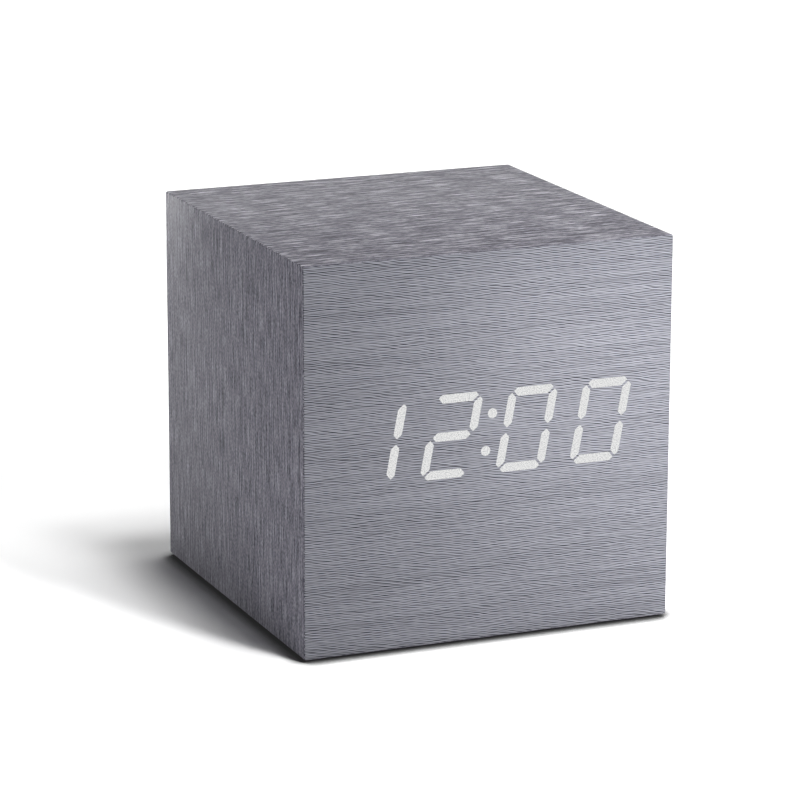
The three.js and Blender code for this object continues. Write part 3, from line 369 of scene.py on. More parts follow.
grainedLooks = {
    # moulded in a spark-eroded tool: a fine even matt grain, drawn at 0.35 mm so that it shows
    "absSparkEroded": {"dark": "#19191b", "light": "#26262a", "grain": 0.35, "mottle": 14,
                       "roughness": 0.5, "relief": 0.02, "ior": 1.53},
    # the keys and the inlet come from a polished tool: smoother and glossier
    "absPolished": {"dark": "#101012", "light": "#1b1b1e", "grain": 0.9, "mottle": 6,
                    "roughness": 0.28, "relief": 0.004, "ior": 1.53},
    # sawn fibreboard: short pale and dark fibres, soft and matt
    "fibreboardSawn": {"dark": "#7d6444", "light": "#b8996c", "grain": 0.5, "mottle": 9,
                       "stretch": (2.5, 2.5, 1), "roughness": 0.85, "relief": 0.05, "grainShare": 0.7},
    # pressed and nickel-plated steel: bright, with faint rolling marks
    "steelNickelPlated": {"dark": "#a5a29c", "light": "#cfccc6", "grain": 0.4, "mottle": 5,
                          "stretch": (1, 1, 8), "roughness": 0.27, "relief": 0.002, "metallic": 1},
    # blackened screw steel: a dark oily sheen
    "steelBlackened": {"dark": "#2c2b2b", "light": "#4b4a49", "grain": 0.3, "mottle": 3,
                       "roughness": 0.38, "relief": 0.004, "metallic": 1},
    "brassNickelPlated": {"dark": "#b5ab92", "light": "#d8cfb8", "grain": 0.3, "mottle": 2,
                          "stretch": (1, 6, 1), "roughness": 0.22, "relief": 0.001, "metallic": 1},
    # opal polyester sheet that spreads the light: smooth, white and a little translucent
    "polyesterOpal": {"dark": "#e4e4df", "light": "#f2f2ee", "grain": 0.6, "mottle": 12,
                      "roughness": 0.45, "relief": 0.002, "ior": 1.57, "glow": 0.2},
    "nylonMoulded": {"dark": "#cfcbbf", "light": "#e5e2d8", "grain": 0.4, "mottle": 5,
                     "roughness": 0.42, "relief": 0.006, "ior": 1.53, "glow": 0.1},
    # black reflector block: matt, so that no light leaks between the digits
    "absMatt": {"dark": "#1d1d1f", "light": "#2a2a2d", "grain": 0.5, "mottle": 9,
                "roughness": 0.62, "relief": 0.012, "ior": 1.53},
    "epoxyMoulded": {"dark": "#161617", "light": "#222224", "grain": 0.2, "mottle": 3,
                     "roughness": 0.55, "relief": 0.006, "ior": 1.55},
    # closed-cell foam: small pits all over, dull
    "evaFoamCut": {"dark": "#1f1f20", "light": "#343436", "grain": 0.45, "mottle": 4,
                   "roughness": 0.88, "relief": 0.06, "ior": 1.48},
    "pvcRed": {"dark": "#9e1510", "light": "#c22a20", "grain": 0.7, "mottle": 8,
               "roughness": 0.38, "relief": 0.004, "ior": 1.54},
    "pvcBlack": {"dark": "#121213", "light": "#1f1f21", "grain": 0.7, "mottle": 8,
                 "roughness": 0.38, "relief": 0.004, "ior": 1.54},
}


# Glass-epoxy board under green solder mask: darker green ground, lighter traces standing a little proud
def maskedBoard(name, look):
    material, tree = newMaterial(name)
    place = addNode(tree, "ShaderNodeTexCoord")
    parts = addNode(tree, "ShaderNodeSeparateXYZ", links={"Vector": place.outputs["Object"]})
    flat = addNode(tree, "ShaderNodeCombineXYZ", links={"X": parts.outputs["X"], "Y": parts.outputs["Z"]})
    cells = addNode(tree, "ShaderNodeTexVoronoi", {
        "voronoi_dimensions": "2D", "distance": "MANHATTAN", "Scale": metre / look["block"],
        "Randomness": look["spread"]}, {"Vector": flat.outputs[0]})
    turned = addNode(tree, "ShaderNodeMath", {"operation": "GREATER_THAN", 1: 0.5},
                     {0: cells.outputs["Color"]})
    runs = []
    for axis in ("X", "Z"):
        wave = addNode(tree, "ShaderNodeMath", {"operation": "MULTIPLY", 1: metre / look["pitch"]},
                       {0: parts.outputs[axis]})
        part = addNode(tree, "ShaderNodeMath", {"operation": "PINGPONG", 1: 0.5}, {0: wave.outputs[0]})
        edge = 0.5 - look["traceShare"]
        runs.append(addNode(tree, "ShaderNodeMapRange", {
            "interpolation_type": "SMOOTHSTEP", "From Min": edge - look["blur"],
            "From Max": edge + look["blur"]}, {"Value": part.outputs[0]}))
    trace = addNode(tree, "ShaderNodeMix", {"data_type": "FLOAT"}, {
        0: turned.outputs[0], 2: runs[0].outputs[0], 3: runs[1].outputs[0]})
    ramp = addNode(tree, "ShaderNodeValToRGB", {
        "stops": ((look["groundAt"], look["ground"]), (look["traceAt"], look["trace"]))},
        {"Fac": trace.outputs[0]})
    bump = addNode(tree, "ShaderNodeBump", {"Distance": mm(look["relief"])},
                   {"Height": trace.outputs[0]})
    shader = addNode(tree, "ShaderNodeBsdfPrincipled", {"Roughness": look["roughness"], "IOR": look["ior"]},
                     {"Base Color": ramp.outputs[0], "Normal": bump.outputs[0]})
    finishWith(tree, shader)
    return material


boardLook = {"block": 6, "spread": 0.8, "pitch": 1.27, "traceShare": 0.2, "blur": 0.03,
             "ground": "#123f24", "trace": "#2a6a3c", "groundAt": 0.2, "traceAt": 0.8, "relief": 0.035,
             "roughness": 0.3, "ior": 1.55}


# Flat ribbon of separate wires: a ridge for each wire, with painted shade darkening the grooves between
# them, the first one marked red
def ribbonInsulation(name, look):
    material, tree = newMaterial(name)
    low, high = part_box("ribbon_cable")
    place = addNode(tree, "ShaderNodeTexCoord")
    parts = addNode(tree, "ShaderNodeSeparateXYZ", links={"Vector": place.outputs["Object"]})
    across = addNode(tree, "ShaderNodeMapRange", {
        "From Min": low.x, "From Max": high.x, "To Max": look["wires"]}, {"Value": parts.outputs["X"]})
    ridge = addNode(tree, "ShaderNodeMath", {"operation": "PINGPONG", 1: 0.5}, {0: across.outputs[0]})
    # The colour darkens towards each groove between the wires: painted shade
    ramp = addNode(tree, "ShaderNodeValToRGB", {
        "stops": ((0, look["paintedGrooveShade"]), (look["grooveShadeShare"], look["colour"]))}, {"Fac": ridge.outputs[0]})
    first = addNode(tree, "ShaderNodeMath", {"operation": "LESS_THAN", 1: 1}, {0: across.outputs[0]})
    mix = addNode(tree, "ShaderNodeMix", {"data_type": "RGBA", 7: linear(look["mark"])},
                  {0: first.outputs[0], 6: ramp.outputs[0]})
    bump = addNode(tree, "ShaderNodeBump", {"Distance": mm(look["relief"])},
                   {"Height": ridge.outputs[0]})
    shader = addNode(tree, "ShaderNodeBsdfPrincipled", {"Roughness": look["roughness"], "IOR": look["ior"]},
                     {"Base Color": mix.outputs[2], "Normal": bump.outputs[0]})
    finishWith(tree, shader)
    return material


ribbonLook = {"wires": 8, "paintedGrooveShade": "#5c5c60", "grooveShadeShare": 0.25, "colour": "#9d9da2", "mark": "#a3231c",
              "relief": 0.4, "roughness": 0.5, "ior": 1.54}


# Shrunk PVC sleeve round a battery or a capacitor: glossy and tight, with long tiny wrinkles
def shrunkSleeve(name, look):
    material, tree = newMaterial(name)
    place = addNode(tree, "ShaderNodeTexCoord")
    stretched = addNode(tree, "ShaderNodeMapping", {"vector_type": "TEXTURE", "Scale": look["stretch"]},
                        {"Vector": place.outputs["Object"]})
    wrinkle = addNode(tree, "ShaderNodeTexNoise", {"Scale": metre / look["wrinkle"], "Detail": 2},
                      {"Vector": stretched.outputs[0]})
    ramp = addNode(tree, "ShaderNodeValToRGB", {
        "stops": ((look["darkAt"], look["dark"]), (look["lightAt"], look["light"]))},
        {"Fac": wrinkle.outputs["Fac"]})
    bump = addNode(tree, "ShaderNodeBump", {"Distance": mm(look["relief"])},
                   {"Height": wrinkle.outputs["Fac"]})
    shader = addNode(tree, "ShaderNodeBsdfPrincipled", {"Roughness": look["roughness"], "IOR": look["ior"]},
                     {"Base Color": ramp.outputs[0], "Normal": bump.outputs[0]})
    finishWith(tree, shader)
    return material


sleeveUsual = {"wrinkle": 1.2, "stretch": (8, 1, 1), "darkAt": 0.35, "lightAt": 0.7, "relief": 0.02,
               "roughness": 0.26, "ior": 1.54}
sleeveLooks = {
    "dark": {**sleeveUsual, "dark": "#232a33", "light": "#2f3843"},
    "light": {**sleeveUsual, "dark": "#b9bdc2", "light": "#cfd3d8"},
    "black": {**sleeveUsual, "dark": "#17181b", "light": "#222327", "wrinkle": 0.8, "relief": 0.01,
              "roughness": 0.3},
}


# Light coming through the film's pinholes: near white with a fine speckle where the print covers it
def litFilm(name, look):
    material, tree = newMaterial(name)
    place = addNode(tree, "ShaderNodeTexCoord")
    speckle = addNode(tree, "ShaderNodeTexNoise", {"Scale": metre / look["speckle"], "Detail": 1},
                      {"Vector": place.outputs["Object"]})
    ramp = addNode(tree, "ShaderNodeValToRGB", {
        "stops": ((look["darkAt"], look["dark"]), (look["lightAt"], look["light"]))},
        {"Fac": speckle.outputs["Fac"]})
    shader = addNode(tree, "ShaderNodeBsdfPrincipled", {
        "Base Color": linear(look["cover"]), "Roughness": look["roughness"],
        "Specular IOR Level": look["specular"], "Emission Strength": look["strength"]},
        {"Emission Color": ramp.outputs[0]})
    finishWith(tree, shader)
    return material


litLook = {"speckle": 0.2, "dark": "#b9babc", "light": "#ebebea", "darkAt": 0.3, "lightAt": 0.6,
           "cover": "#202022", "strength": 1, "roughness": 0.5, "specular": 0.1}


filmFront = brushedFilm("filmPvcBrushedFront", filmLooks["front"])
filmSide = brushedFilm("filmPvcBrushedSide", filmLooks["side"])
filmTopWithPaintedGlints = brushedFilm("filmPvcBrushedTopPaintedGlints", filmLooks["top"])
made = {name: grained(name, look) for name, look in grainedLooks.items()}
circuitBoard = maskedBoard("glassEpoxyMasked", boardLook)
ribbonWires = ribbonInsulation("pvcRibbonExtruded", ribbonLook)
sleeveDark = shrunkSleeve("pvcSleeveShrunkDark", sleeveLooks["dark"])
sleeveLight = shrunkSleeve("pvcSleeveShrunkLight", sleeveLooks["light"])
sleeveBlack = shrunkSleeve("pvcSleeveShrunkBlack", sleeveLooks["black"])
litWindows = litFilm("filmLitThrough", litLook)
print("materials made")


# Places on the case, in millimetres
case = {"half": 34, "low": 0.5}
case["middleZ"] = case["low"] + case["half"]
case["high"] = case["middleZ"] + case["half"]


def grainMap(piece, place):  # the film's own map in millimetres: along the grain, then across it
    layer = piece.data.uv_layers.new(name="grain")
    mesh = piece.data
    for face in mesh.polygons:
        for corner in face.loop_indices:
            co = mesh.vertices[mesh.loops[corner].vertex_index].co * metre
            layer.data[corner].uv = place(co, face.normal)


# Film round the four sides: one sheet folded round the box, meeting in a butt seam underneath
sleeve = {"thickness": 0.4, "fold": 0.35, "foldSteps": 4, "seamX": 12, "seamWidth": 0.3, "setBack": 0.16,
          "rimEdge": 0.05}


def grainRound(co, normal):  # how far round the box from the middle of the top
    half = case["half"]
    x, z = co.x, co.z - case["middleZ"]
    if abs(normal.y) > mostly:
        return (x, z)
    if abs(normal.z) >= abs(normal.x):
        if z > 0:
            return (x, co.y)
        return (4 * half - x, co.y) if x > sleeve["seamX"] else (-4 * half - x, co.y)
    return (2 * half - z, co.y) if x > 0 else (z - 2 * half, co.y)


def makeSleeve():
    half = case["half"]
    deep = half - sleeve["setBack"]
    piece = boxBetween("filmSleeve", (-half, -deep, case["low"]), (half, deep, case["high"]))
    edit(piece)
    pick(piece, "faces", lambda face: abs(face.normal.y) > straight)
    bpy.ops.mesh.delete(type="FACE")
    pick(piece, "edges", lambda edge: alongAxis(edge, 1))
    bpy.ops.mesh.bevel(offset=mm(sleeve["fold"]), segments=sleeve["foldSteps"], affect="EDGES")
    for side in (-1, 1):
        pick(piece, "faces", lambda face: face.normal.z < -straight)
        bpy.ops.mesh.bisect(plane_co=spot(sleeve["seamX"] + side * sleeve["seamWidth"] / 2, 0, 0),
                            plane_no=(1, 0, 0))
    pick(piece, "faces", lambda face: face.normal.z < -straight
         and abs(middleOf(face).x - mm(sleeve["seamX"])) < mm(sleeve["seamWidth"]))
    bpy.ops.mesh.delete(type="FACE")
    endEdit()
    useModifier(piece, "SOLIDIFY", thickness=mm(sleeve["thickness"]), offset=-1, use_even_offset=True)
    softEdges(piece, sleeve["rimEdge"], angle=60)
    smooth(piece, angle=30)
    grainMap(piece, grainRound)
    for material in (filmSide, filmTopWithPaintedGlints):
        piece.data.materials.append(material)
    # Faces on the top take the top film, with its painted glints
    for face in piece.data.polygons:
        if face.normal.z > mostly and face.center.z > mm(case["middleZ"]):
            face.material_index = 1
    return dress(piece, "case", None, ["wrap_film"])


makeSleeve()


# Film over the whole front, just short of the sleeve's fold, so that a hair-thin dark line shows there
frontPanel = {"short": 0.12, "thickness": 0.14, "drop": 0.02, "edge": 0.06}
rearRim = {"border": 4.88, "thickness": 0.14, "edge": 0.05}


def flatGrain(co, normal):
    return (co.x, co.z - case["middleZ"])


def makeFrontPanel():
    reach = case["half"] - frontPanel["short"]
    outer = frontPanel["drop"] - case["half"]
    piece = boxBetween("filmFront", (-reach, outer, case["middleZ"] - reach),
                       (reach, outer + frontPanel["thickness"], case["middleZ"] + reach))
    softEdges(piece, frontPanel["edge"], steps=3, angle=60)
    smooth(piece, angle=30)
    grainMap(piece, flatGrain)
    return dress(piece, "case", filmFront, ["front_film"])


makeFrontPanel()


def makeRearRim():  # the same film as a frame: both sides are inset, and their middles bridged
    reach = case["half"] - frontPanel["short"]
    piece = boxBetween("filmRearRim", (-reach, case["half"] - rearRim["thickness"], case["middleZ"] - reach),
                       (reach, case["half"], case["middleZ"] + reach))
    edit(piece)
    pick(piece, "faces", lambda face: abs(face.normal.y) > straight)
    bpy.ops.mesh.inset(thickness=mm(rearRim["border"]), depth=0)
    bpy.ops.mesh.bridge_edge_loops()
    endEdit()
    outwards(piece)
    softEdges(piece, rearRim["edge"], angle=60)
    smooth(piece, angle=30)
    grainMap(piece, flatGrain)
    return dress(piece, "case", filmFront, ["rear_rim_film"])


makeRearRim()
print("films made")


# Lit digits, showing twelve o'clock: bars with mitred ends that lean to the right
digits = {"middles": (-21.085, -7.155, 6.775, 20.705), "z": 37, "height": 14.65, "width": 9.15,
          "stroke": 1.525, "slant": 0.19, "gap": 0.4, "cornerCut": 1.45, "middleGap": 0.9,
          "middleBar": 7, "corner": 0.14, "outer": -34, "inner": -33.9,
          "bars": ("bc", "abged", "abcdef", "abcdef")}
colon = {"x": -0.24, "rise": 3.25, "diameter": 1.75, "sides": 32, "rim": 0.1}


def barOutlines():
    w, h, t = digits["width"] / 2, digits["height"] / 2, digits["stroke"]
    shift = digits["gap"] / math.sqrt(2)
    lean = h - w
    cut = w + h - digits["cornerCut"]
    tip = ((cut - lean - shift) / 2, (cut + lean + shift) / 2)
    sideTip = ((cut - lean + shift) / 2, (cut + lean - shift) / 2)
    inner = w - t - shift
    low = digits["middleGap"] / 2
    m = digits["middleBar"] / 2
    top = [(-inner, h - t), (inner, h - t), tip, (cut - h, h), (h - cut, h), (-tip[0], tip[1])]
    side = [(w - t / 2, low), (w, low + t / 2), (w, cut - w), sideTip, (w - t, h - t - shift),
            (w - t, low + t / 2)]
    middle = [(-m, 0), (t / 2 - m, -t / 2), (m - t / 2, -t / 2), (m, 0), (m - t / 2, t / 2),
              (t / 2 - m, t / 2)]
    return {"a": (top, 1, 1), "b": (side, 1, 1), "c": (side, 1, -1), "d": (top, 1, -1),
            "e": (side, -1, -1), "f": (side, -1, 1), "g": (middle, 1, 1)}


def makeBar(outline, flipX, flipZ):  # a block that is bisected along each slanted side
    xs, zs = [u for u, v in outline], [v for u, v in outline]
    piece = boxBetween("bar", (min(xs), digits["outer"], min(zs)), (max(xs), digits["inner"], max(zs)))
    edit(piece)
    for (u, v), (nextU, nextV) in zip(outline, outline[1:] + outline[:1]):
        if min(abs(u - nextU), abs(v - nextV)) > sameDistance:
            bpy.ops.mesh.select_all(action="SELECT")
            bpy.ops.mesh.bisect(plane_co=spot(u, 0, v), plane_no=(nextV - v, 0, u - nextU),
                                use_fill=True, clear_outer=True)
    pick(piece, "edges", lambda edge: alongAxis(edge, 1))
    bpy.ops.mesh.bevel(offset=mm(digits["corner"]), segments=2, affect="EDGES")
    endEdit()
    piece.data.transform(Matrix.Diagonal((flipX, 1, flipZ, 1)))
    outwards(piece)
    return piece


def makeDigit(number, middle, bars):
    outlines = barOutlines()
    piece = joinPieces(f"litDigit{number}", [makeBar(*outlines[bar]) for bar in bars])
    lean = Matrix.Identity(4)
    lean[0][2] = digits["slant"]
    piece.data.transform(Matrix.Translation(spot(middle, 0, digits["z"])) @ lean)
    return dress(piece, "case", litWindows)


def makeColonDot(name, side):
    bpy.ops.object.select_all(action="DESELECT")
    depth = digits["inner"] - digits["outer"]
    place = spot(colon["x"] + side * digits["slant"] * colon["rise"], digits["outer"] + depth / 2,
                 digits["z"] + side * colon["rise"])
    bpy.ops.mesh.primitive_cylinder_add(vertices=colon["sides"], radius=mm(colon["diameter"] / 2),
                                        depth=mm(depth), location=place,
                                        rotation=(math.radians(90), 0, 0))
    piece = settle(bpy.context.object, name)
    edit(piece)
    pick(piece, "faces", lambda face: abs(face.normal.y) > straight)
    bpy.ops.mesh.inset(thickness=mm(colon["rim"]), depth=0)
    endEdit()
    return dress(piece, "case", litWindows)


for i, (middle, bars) in enumerate(zip(digits["middles"], digits["bars"])):
    makeDigit(i + 1, middle, bars)
makeColonDot("colonDotUpper", 1)
makeColonDot("colonDotLower", -1)
print("digits made")


# The back and the underside: moulded cover, battery door, keys, switch, inlet, screws and foot pads
for node, name, body, width, material, slotName in (
    ("rear_cover", "rearCover", "case", 0.15, made["absSparkEroded"], "abs_black"),
    ("battery_door", "batteryDoor", "door", 0.12, made["absSparkEroded"], "abs_black"),
    ("set_button", "setKey", "set_key", 0.12, made["absPolished"], "abs_black"),
    ("down_button", "downKey", "down_key", 0.12, made["absPolished"], "abs_black"),
    ("up_button", "upKey", "up_key", 0.12, made["absPolished"], "abs_black"),
    ("switch_knob", "switchKnob", "knob", 0.12, made["absPolished"], "abs_black"),
    ("dc_jack", "powerInlet", "case", 0.1, made["absPolished"], "abs_black"),
    ("cover_screw_1", "coverScrewLeft", "case", 0.08, made["steelBlackened"], "steel_plated"),
    ("cover_screw_2", "coverScrewRight", "case", 0.08, made["steelBlackened"], "steel_plated"),
    ("foot_1", "footPadFrontLeft", "case", 0.12, made["evaFoamCut"], "pad_foam"),
    ("foot_2", "footPadFrontRight", "case", 0.12, made["evaFoamCut"], "pad_foam"),
    ("foot_3", "footPadBackLeft", "case", 0.12, made["evaFoamCut"], "pad_foam"),
    ("foot_4", "footPadBackRight", "case", 0.12, made["evaFoamCut"], "pad_foam"),
):
    dress(softCopy(node, name, width), body, material, [node])
print("back made")


# Batteries: a sleeve over a steel can, with the bare ends showing. The band is the light end's share of
# the length from the middle on, and the bare end is the share of the radius that the sleeve leaves free.
cell = {"count": 4, "edge": 0.12, "angle": 30, "band": 0.3, "bare": 0.86}


def makeCell(number):
    node = f"cell_{number}"
    piece = softCopy(node, f"battery{number}", cell["edge"], angle=cell["angle"])
    low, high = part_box(node)
    positive = 1 if number % 2 == 0 else -1  # the end that carries the nub
    length, middle, radius = high.x - low.x, (low.x + high.x) / 2, (high.z - low.z) / 2
    axisY, axisZ = (low.y + high.y) / 2, (low.z + high.z) / 2
    edit(piece)
    bpy.ops.mesh.select_all(action="SELECT")
    bpy.ops.mesh.bisect(plane_co=(middle + positive * length * cell["band"], 0, 0), plane_no=(1, 0, 0))
    endEdit()
    for material in (sleeveDark, sleeveLight, made["steelNickelPlated"]):
        piece.data.materials.append(material)
    for face in piece.data.polygons:
        away = math.hypot(face.center.y - axisY, face.center.z - axisZ)
        if away < cell["bare"] * radius:
            face.material_index = 2
        elif (face.center.x - middle) * positive > cell["band"] * length:
            face.material_index = 1
    return dress(piece, "case", None, [node])


for number in range(1, cell["count"] + 1):
    makeCell(number)


# Contacts: a pressed plate with a dimple for a battery's nub or a coil spring for its flat end
contact = {"outerX": 24.8, "innerX": 24.4, "low": 20.4, "high": 29.4, "half": 4, "edge": 0.12,
           "cellY": 25.65, "rows": (45.85, 34.95, 24.05, 13.15), "tabHalf": 1, "tabLow": 17.5, "lap": 0.2}
dimple = {"rise": 0.7, "radius": 1.7, "sides": 24, "topShare": 0.4, "sunk": 0.1, "edge": 0.2}
spring = {"wire": 0.3, "wide": 2.6, "tip": 1.8, "rise": 3.4, "turns": 4.5, "flatTurns": 0.8, "steps": 20}
contacts = (("plateTerminal", "plate_terminal", -1, ((0, "dimple"),), True),
            ("springTerminal", "spring_terminal", -1, ((3, "spring"),), True),
            ("linkContact1", "link_contact_1", 1, ((0, "spring"), (1, "dimple")), False),
            ("linkContact2", "link_contact_2", -1, ((1, "spring"), (2, "dimple")), False),
            ("linkContact3", "link_contact_3", 1, ((2, "spring"), (3, "dimple")), False))


def makeSpring(side, z):  # wound wire: a flat turn at each end, narrowing towards the battery
    curve = bpy.data.curves.new("spring", "CURVE")
    curve.dimensions = "3D"
    curve.bevel_depth = mm(spring["wire"])
    curve.bevel_resolution = 2
    curve.use_fill_caps = True
    count = int(spring["turns"] * spring["steps"])
    climbing = spring["turns"] - 2 * spring["flatTurns"]
    line = curve.splines.new("POLY")
    line.points.add(count)
    for i in range(count + 1):
        turnsSoFar = spring["turns"] * i / count
        climb = min(max((turnsSoFar - spring["flatTurns"]) / climbing, 0), 1)
        radius = spring["wide"] + (spring["tip"] - spring["wide"]) * climb
        x = side * (contact["innerX"] - spring["wire"] - climb * (spring["rise"] - 2 * spring["wire"]))
        angle = 2 * math.pi * turnsSoFar
        point = spot(x, contact["cellY"] + radius * math.cos(angle), z + radius * math.sin(angle))
        line.points[i].co = (*point, 1)
    coil = bpy.data.objects.new("spring", curve)
    bpy.context.scene.collection.objects.link(coil)
    makeActive(coil)
    bpy.ops.object.convert(target="MESH")
    coil = bpy.context.object
    smooth(coil, angle=50)
    return coil


def makeDimple(side, z):
    bpy.ops.object.select_all(action="DESELECT")
    height = dimple["rise"] + dimple["sunk"]
    place = spot(side * (contact["innerX"] + dimple["sunk"] - height / 2), contact["cellY"], z)
    bpy.ops.mesh.primitive_cone_add(vertices=dimple["sides"], radius1=mm(dimple["radius"]),
                                    radius2=mm(dimple["radius"] * dimple["topShare"]), depth=mm(height),
                                    location=place, rotation=(0, math.radians(-90 * side), 0))
    piece = settle(bpy.context.object, "dimple")
    softEdges(piece, dimple["edge"], steps=3, angle=20)
    smooth(piece, angle=50)
    return piece


def makeContact(name, node, side, ends, hasTab):
    zs = [contact["rows"][row] for row, kind in ends]
    xs = sorted((side * contact["outerX"], side * contact["innerX"]))
    parts = [boxBetween(name, (xs[0], contact["low"], min(zs) - contact["half"]),
                        (xs[1], contact["high"], max(zs) + contact["half"]))]
    if hasTab:
        parts.append(boxBetween("tab", (xs[0], contact["tabLow"], zs[0] - contact["tabHalf"]),
                                (xs[1], contact["low"] + contact["lap"], zs[0] + contact["tabHalf"])))
    for part in parts:
        softEdges(part, contact["edge"])
        smooth(part)
    for (row, kind), z in zip(ends, zs):
        parts.append(makeSpring(side, z) if kind == "spring" else makeDimple(side, z))
    piece = joinPieces(name, parts)
    return dress(piece, "case", made["steelNickelPlated"], [node])


for entry in contacts:
    makeContact(*entry)
print("battery bay made")


# What stays as the CAD has it gets its material
nodeFinishes = {
    "fibreboardSawn": ("top_board", "bottom_board", "left_board", "right_board", "front_board",
                       "corner_block_left", "corner_block_right"),
    "polyesterOpal": ("diffuser_sheet",),
    "absMatt": ("reflector", "buzzer"),
    "epoxyMoulded": ("microcontroller",),
    "absPolished": ("set_stem", "down_stem", "up_stem"),
    "steelNickelPlated": ("display_screw_1", "display_screw_2", "display_screw_3", "display_screw_4",
                          "control_screw_1", "control_screw_2", "crystal", "set_switch", "down_switch",
                          "up_switch", "slide_switch"),
    "nylonMoulded": ("display_socket", "control_socket"),
    "brassNickelPlated": ("dc_pin",),
    "pvcRed": ("battery_wire_red",),
    "pvcBlack": ("battery_wire_black",),
}
finishes = {node: made[name] for name, nodes in nodeFinishes.items() for node in nodes}
finishes.update(display_board=circuitBoard, control_board=circuitBoard, ribbon_cable=ribbonWires,
                capacitor=sleeveBlack)
for node, material in finishes.items():
    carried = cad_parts[node]
    carried.data.materials.clear()
    carried.data.materials.append(material)
print("carried nodes dressed")


# Pale floor that the camera sees as white wherever the light reaches it. A painted contact shade darkens it
# close to the case, within the contact distance in millimetres, and a painted glow makes reflections see it
# a little paler in the shadow.
floor = {"size": 8, "seen": 1, "mirrored": 0.4, "felt": 0.47, "contact": 3.3, "open": 0.5, "least": 0.24,
         "falloff": 1.6}
# Painted glow: the floor gives off a little light of its own, most for reflections, so its shadow looks
# paler in them
floorPaintedGlow = {"seen": 0.014, "mirrored": 0.4, "felt": 0.014}


def rayShare(tree, shares):  # one value for the camera's rays, one for mirrored or bent ones, one for light
    rays = addNode(tree, "ShaderNodeLightPath")
    either = addNode(tree, "ShaderNodeMath", {"operation": "MAXIMUM"},
                     {0: rays.outputs["Is Glossy Ray"], 1: rays.outputs["Is Transmission Ray"]})
    mirrored = addNode(tree, "ShaderNodeMix", {
        "data_type": "FLOAT", 2: shares["felt"], 3: shares["mirrored"]}, {0: either.outputs[0]})
    return addNode(tree, "ShaderNodeMix", {"data_type": "FLOAT", 3: shares["seen"]},
                   {0: rays.outputs["Is Camera Ray"], 2: mirrored.outputs[0]})


def makeFloor():
    bpy.ops.object.select_all(action="DESELECT")
    bpy.ops.mesh.primitive_plane_add(size=floor["size"])
    piece = bpy.context.object
    piece.name = "floor"
    material, tree = newMaterial("floorPaper")
    # Painted contact shade: the floor's colour darkens where the case is close by
    near = addNode(tree, "ShaderNodeAmbientOcclusion", {"samples": 8, "Distance": mm(floor["contact"])})
    fade = addNode(tree, "ShaderNodeMapRange", {
        "interpolation_type": "SMOOTHSTEP", "From Min": floor["open"], "To Min": floor["least"]},
        {"Value": near.outputs["AO"]})
    closeShade = addNode(tree, "ShaderNodeMath", {"operation": "POWER", 1: floor["falloff"]},
                         {0: fade.outputs[0]})
    shade = addNode(tree, "ShaderNodeMath", {"operation": "MULTIPLY"},
                    {0: rayShare(tree, floor).outputs[0], 1: closeShade.outputs[0]})
    colour = addNode(tree, "ShaderNodeCombineColor", links={
        0: shade.outputs[0], 1: shade.outputs[0], 2: shade.outputs[0]})
    shader = addNode(tree, "ShaderNodeBsdfPrincipled", {
        "Roughness": 1, "Specular IOR Level": 0, "Emission Color": (1, 1, 1, 1)}, {
        "Base Color": colour.outputs[0], "Emission Strength": rayShare(tree, floorPaintedGlow).outputs[0]})
    finishWith(tree, shader)
    piece.data.materials.append(material)
    return piece


floorPiece = makeFloor()


# Soft studio light. The floor lamps light the floor and cast the shadow; the others reach only the clock.
# Turns and heights are in degrees, places and sizes in millimetres.
lamps = {
    "floorLow": {"kind": "SUN", "azimuth": 26, "elevation": 38, "spread": 10, "strength": 2.21},
    "floorMiddle": {"kind": "SUN", "azimuth": 32, "elevation": 65, "spread": 10, "strength": 0.704},
    "floorHigh": {"kind": "SUN", "azimuth": 32, "elevation": 76, "spread": 10, "strength": 1.14},
    "floorRight": {"kind": "SUN", "azimuth": 80, "elevation": 55, "spread": 24, "strength": 0.571},
    "floorBack": {"kind": "SUN", "azimuth": 130, "elevation": 76, "spread": 24, "strength": 0.871},
    "high": {"kind": "SUN", "azimuth": 40, "elevation": 70, "spread": 30, "strength": 1.55},
    "over": {"kind": "AREA", "place": (20, -26, 118), "aim": (20, -26, 68), "size": 30, "power": 0.0045},
    "near": {"kind": "AREA", "place": (74, -122, 36), "aim": (15, -34, 34), "size": 70, "power": 0.0905},
    "left": {"kind": "AREA", "place": (-130, -26, 36), "aim": (-34, -14, 36), "size": 60, "power": 0.0105},
    "back": {"kind": "AREA", "place": (15, 460, 0), "aim": (0, 34, 34), "size": 80, "power": 0.8},
}
sky = {"seen": 1, "mirrored": 1, "felt": 0.015}


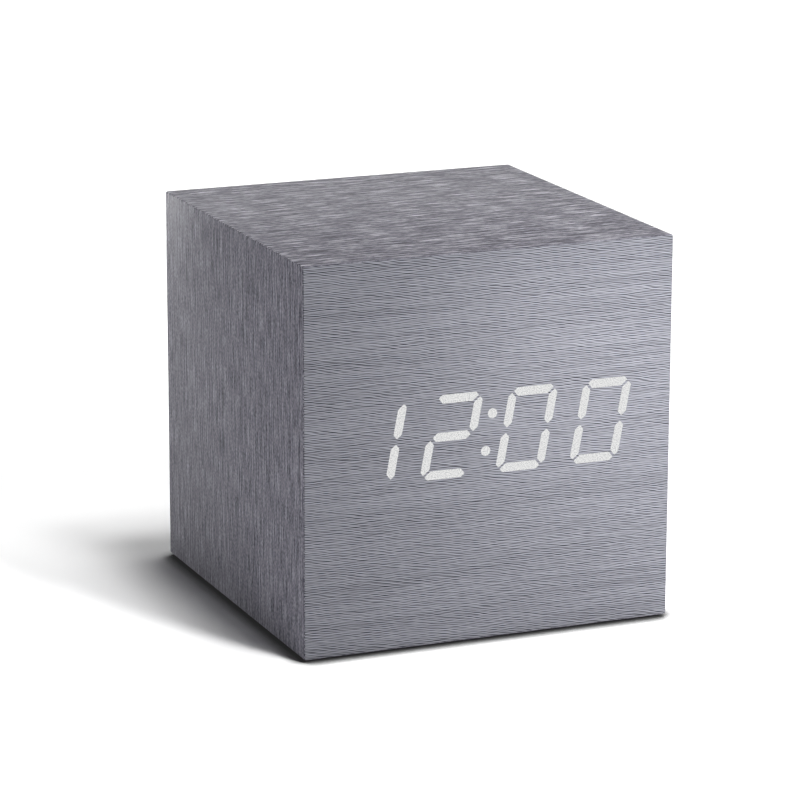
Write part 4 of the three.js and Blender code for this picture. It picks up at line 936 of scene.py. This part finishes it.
def makeLamp(name, look):
    if look["kind"] == "SUN":
        turn, rise = math.radians(look["azimuth"]), math.radians(look["elevation"])
        towards = Vector((math.sin(turn) * math.cos(rise), -math.cos(turn) * math.cos(rise),
                          math.sin(rise)))
        place = towards
    else:
        place = spot(*look["place"])
        towards = place - spot(*look["aim"])
    bpy.ops.object.light_add(type=look["kind"], location=place,
                             rotation=towards.to_track_quat("Z", "Y").to_euler())
    lamp = bpy.context.object
    lamp.name = name
    if look["kind"] == "SUN":
        lamp.data.energy = look["strength"]
        lamp.data.angle = math.radians(look["spread"])
    else:
        lamp.data.energy = look["power"]
        lamp.data.size = mm(look["size"])
        lamp.visible_camera = False
    linked = bpy.data.collections.new(f"{name}Links")
    linked.objects.link(floorPiece)
    lamp.light_linking.receiver_collection = linked
    if not name.startswith("floor"):
        linked.collection_objects[0].light_linking.link_state = "EXCLUDE"


for name, look in lamps.items():
    makeLamp(name, look)

world = bpy.data.worlds.new("studio")
world.use_nodes = True
world.node_tree.nodes.clear()
bpy.context.scene.world = world
strength = rayShare(world.node_tree, sky)
background = addNode(world.node_tree, "ShaderNodeBackground", {"Color": (1, 1, 1, 1)},
                     {"Strength": strength.outputs[0]})
addNode(world.node_tree, "ShaderNodeOutputWorld", links={"Surface": background.outputs[0]})
print("studio made")


# The photograph's camera: its place in millimetres, its turns in degrees
view = {"place": (-252.09, -593.01, 201.9), "azimuth": -22.84, "elevation": 14.57, "roll": 0.13,
        "lens": 168.44, "sensor": 36}


def makeCamera():
    turn = (Matrix.Rotation(math.radians(view["azimuth"]), 4, "Z")
            @ Matrix.Rotation(math.radians(90 - view["elevation"]), 4, "X")
            @ Matrix.Rotation(math.radians(view["roll"]), 4, "Z"))
    bpy.ops.object.camera_add(location=spot(*view["place"]), rotation=turn.to_euler())
    camera = bpy.context.object
    camera.data.lens = view["lens"]
    camera.data.sensor_width = view["sensor"]
    bpy.context.scene.camera = camera


makeCamera()
bpy.context.scene.view_settings.view_transform = "Standard"

print("scene ready")
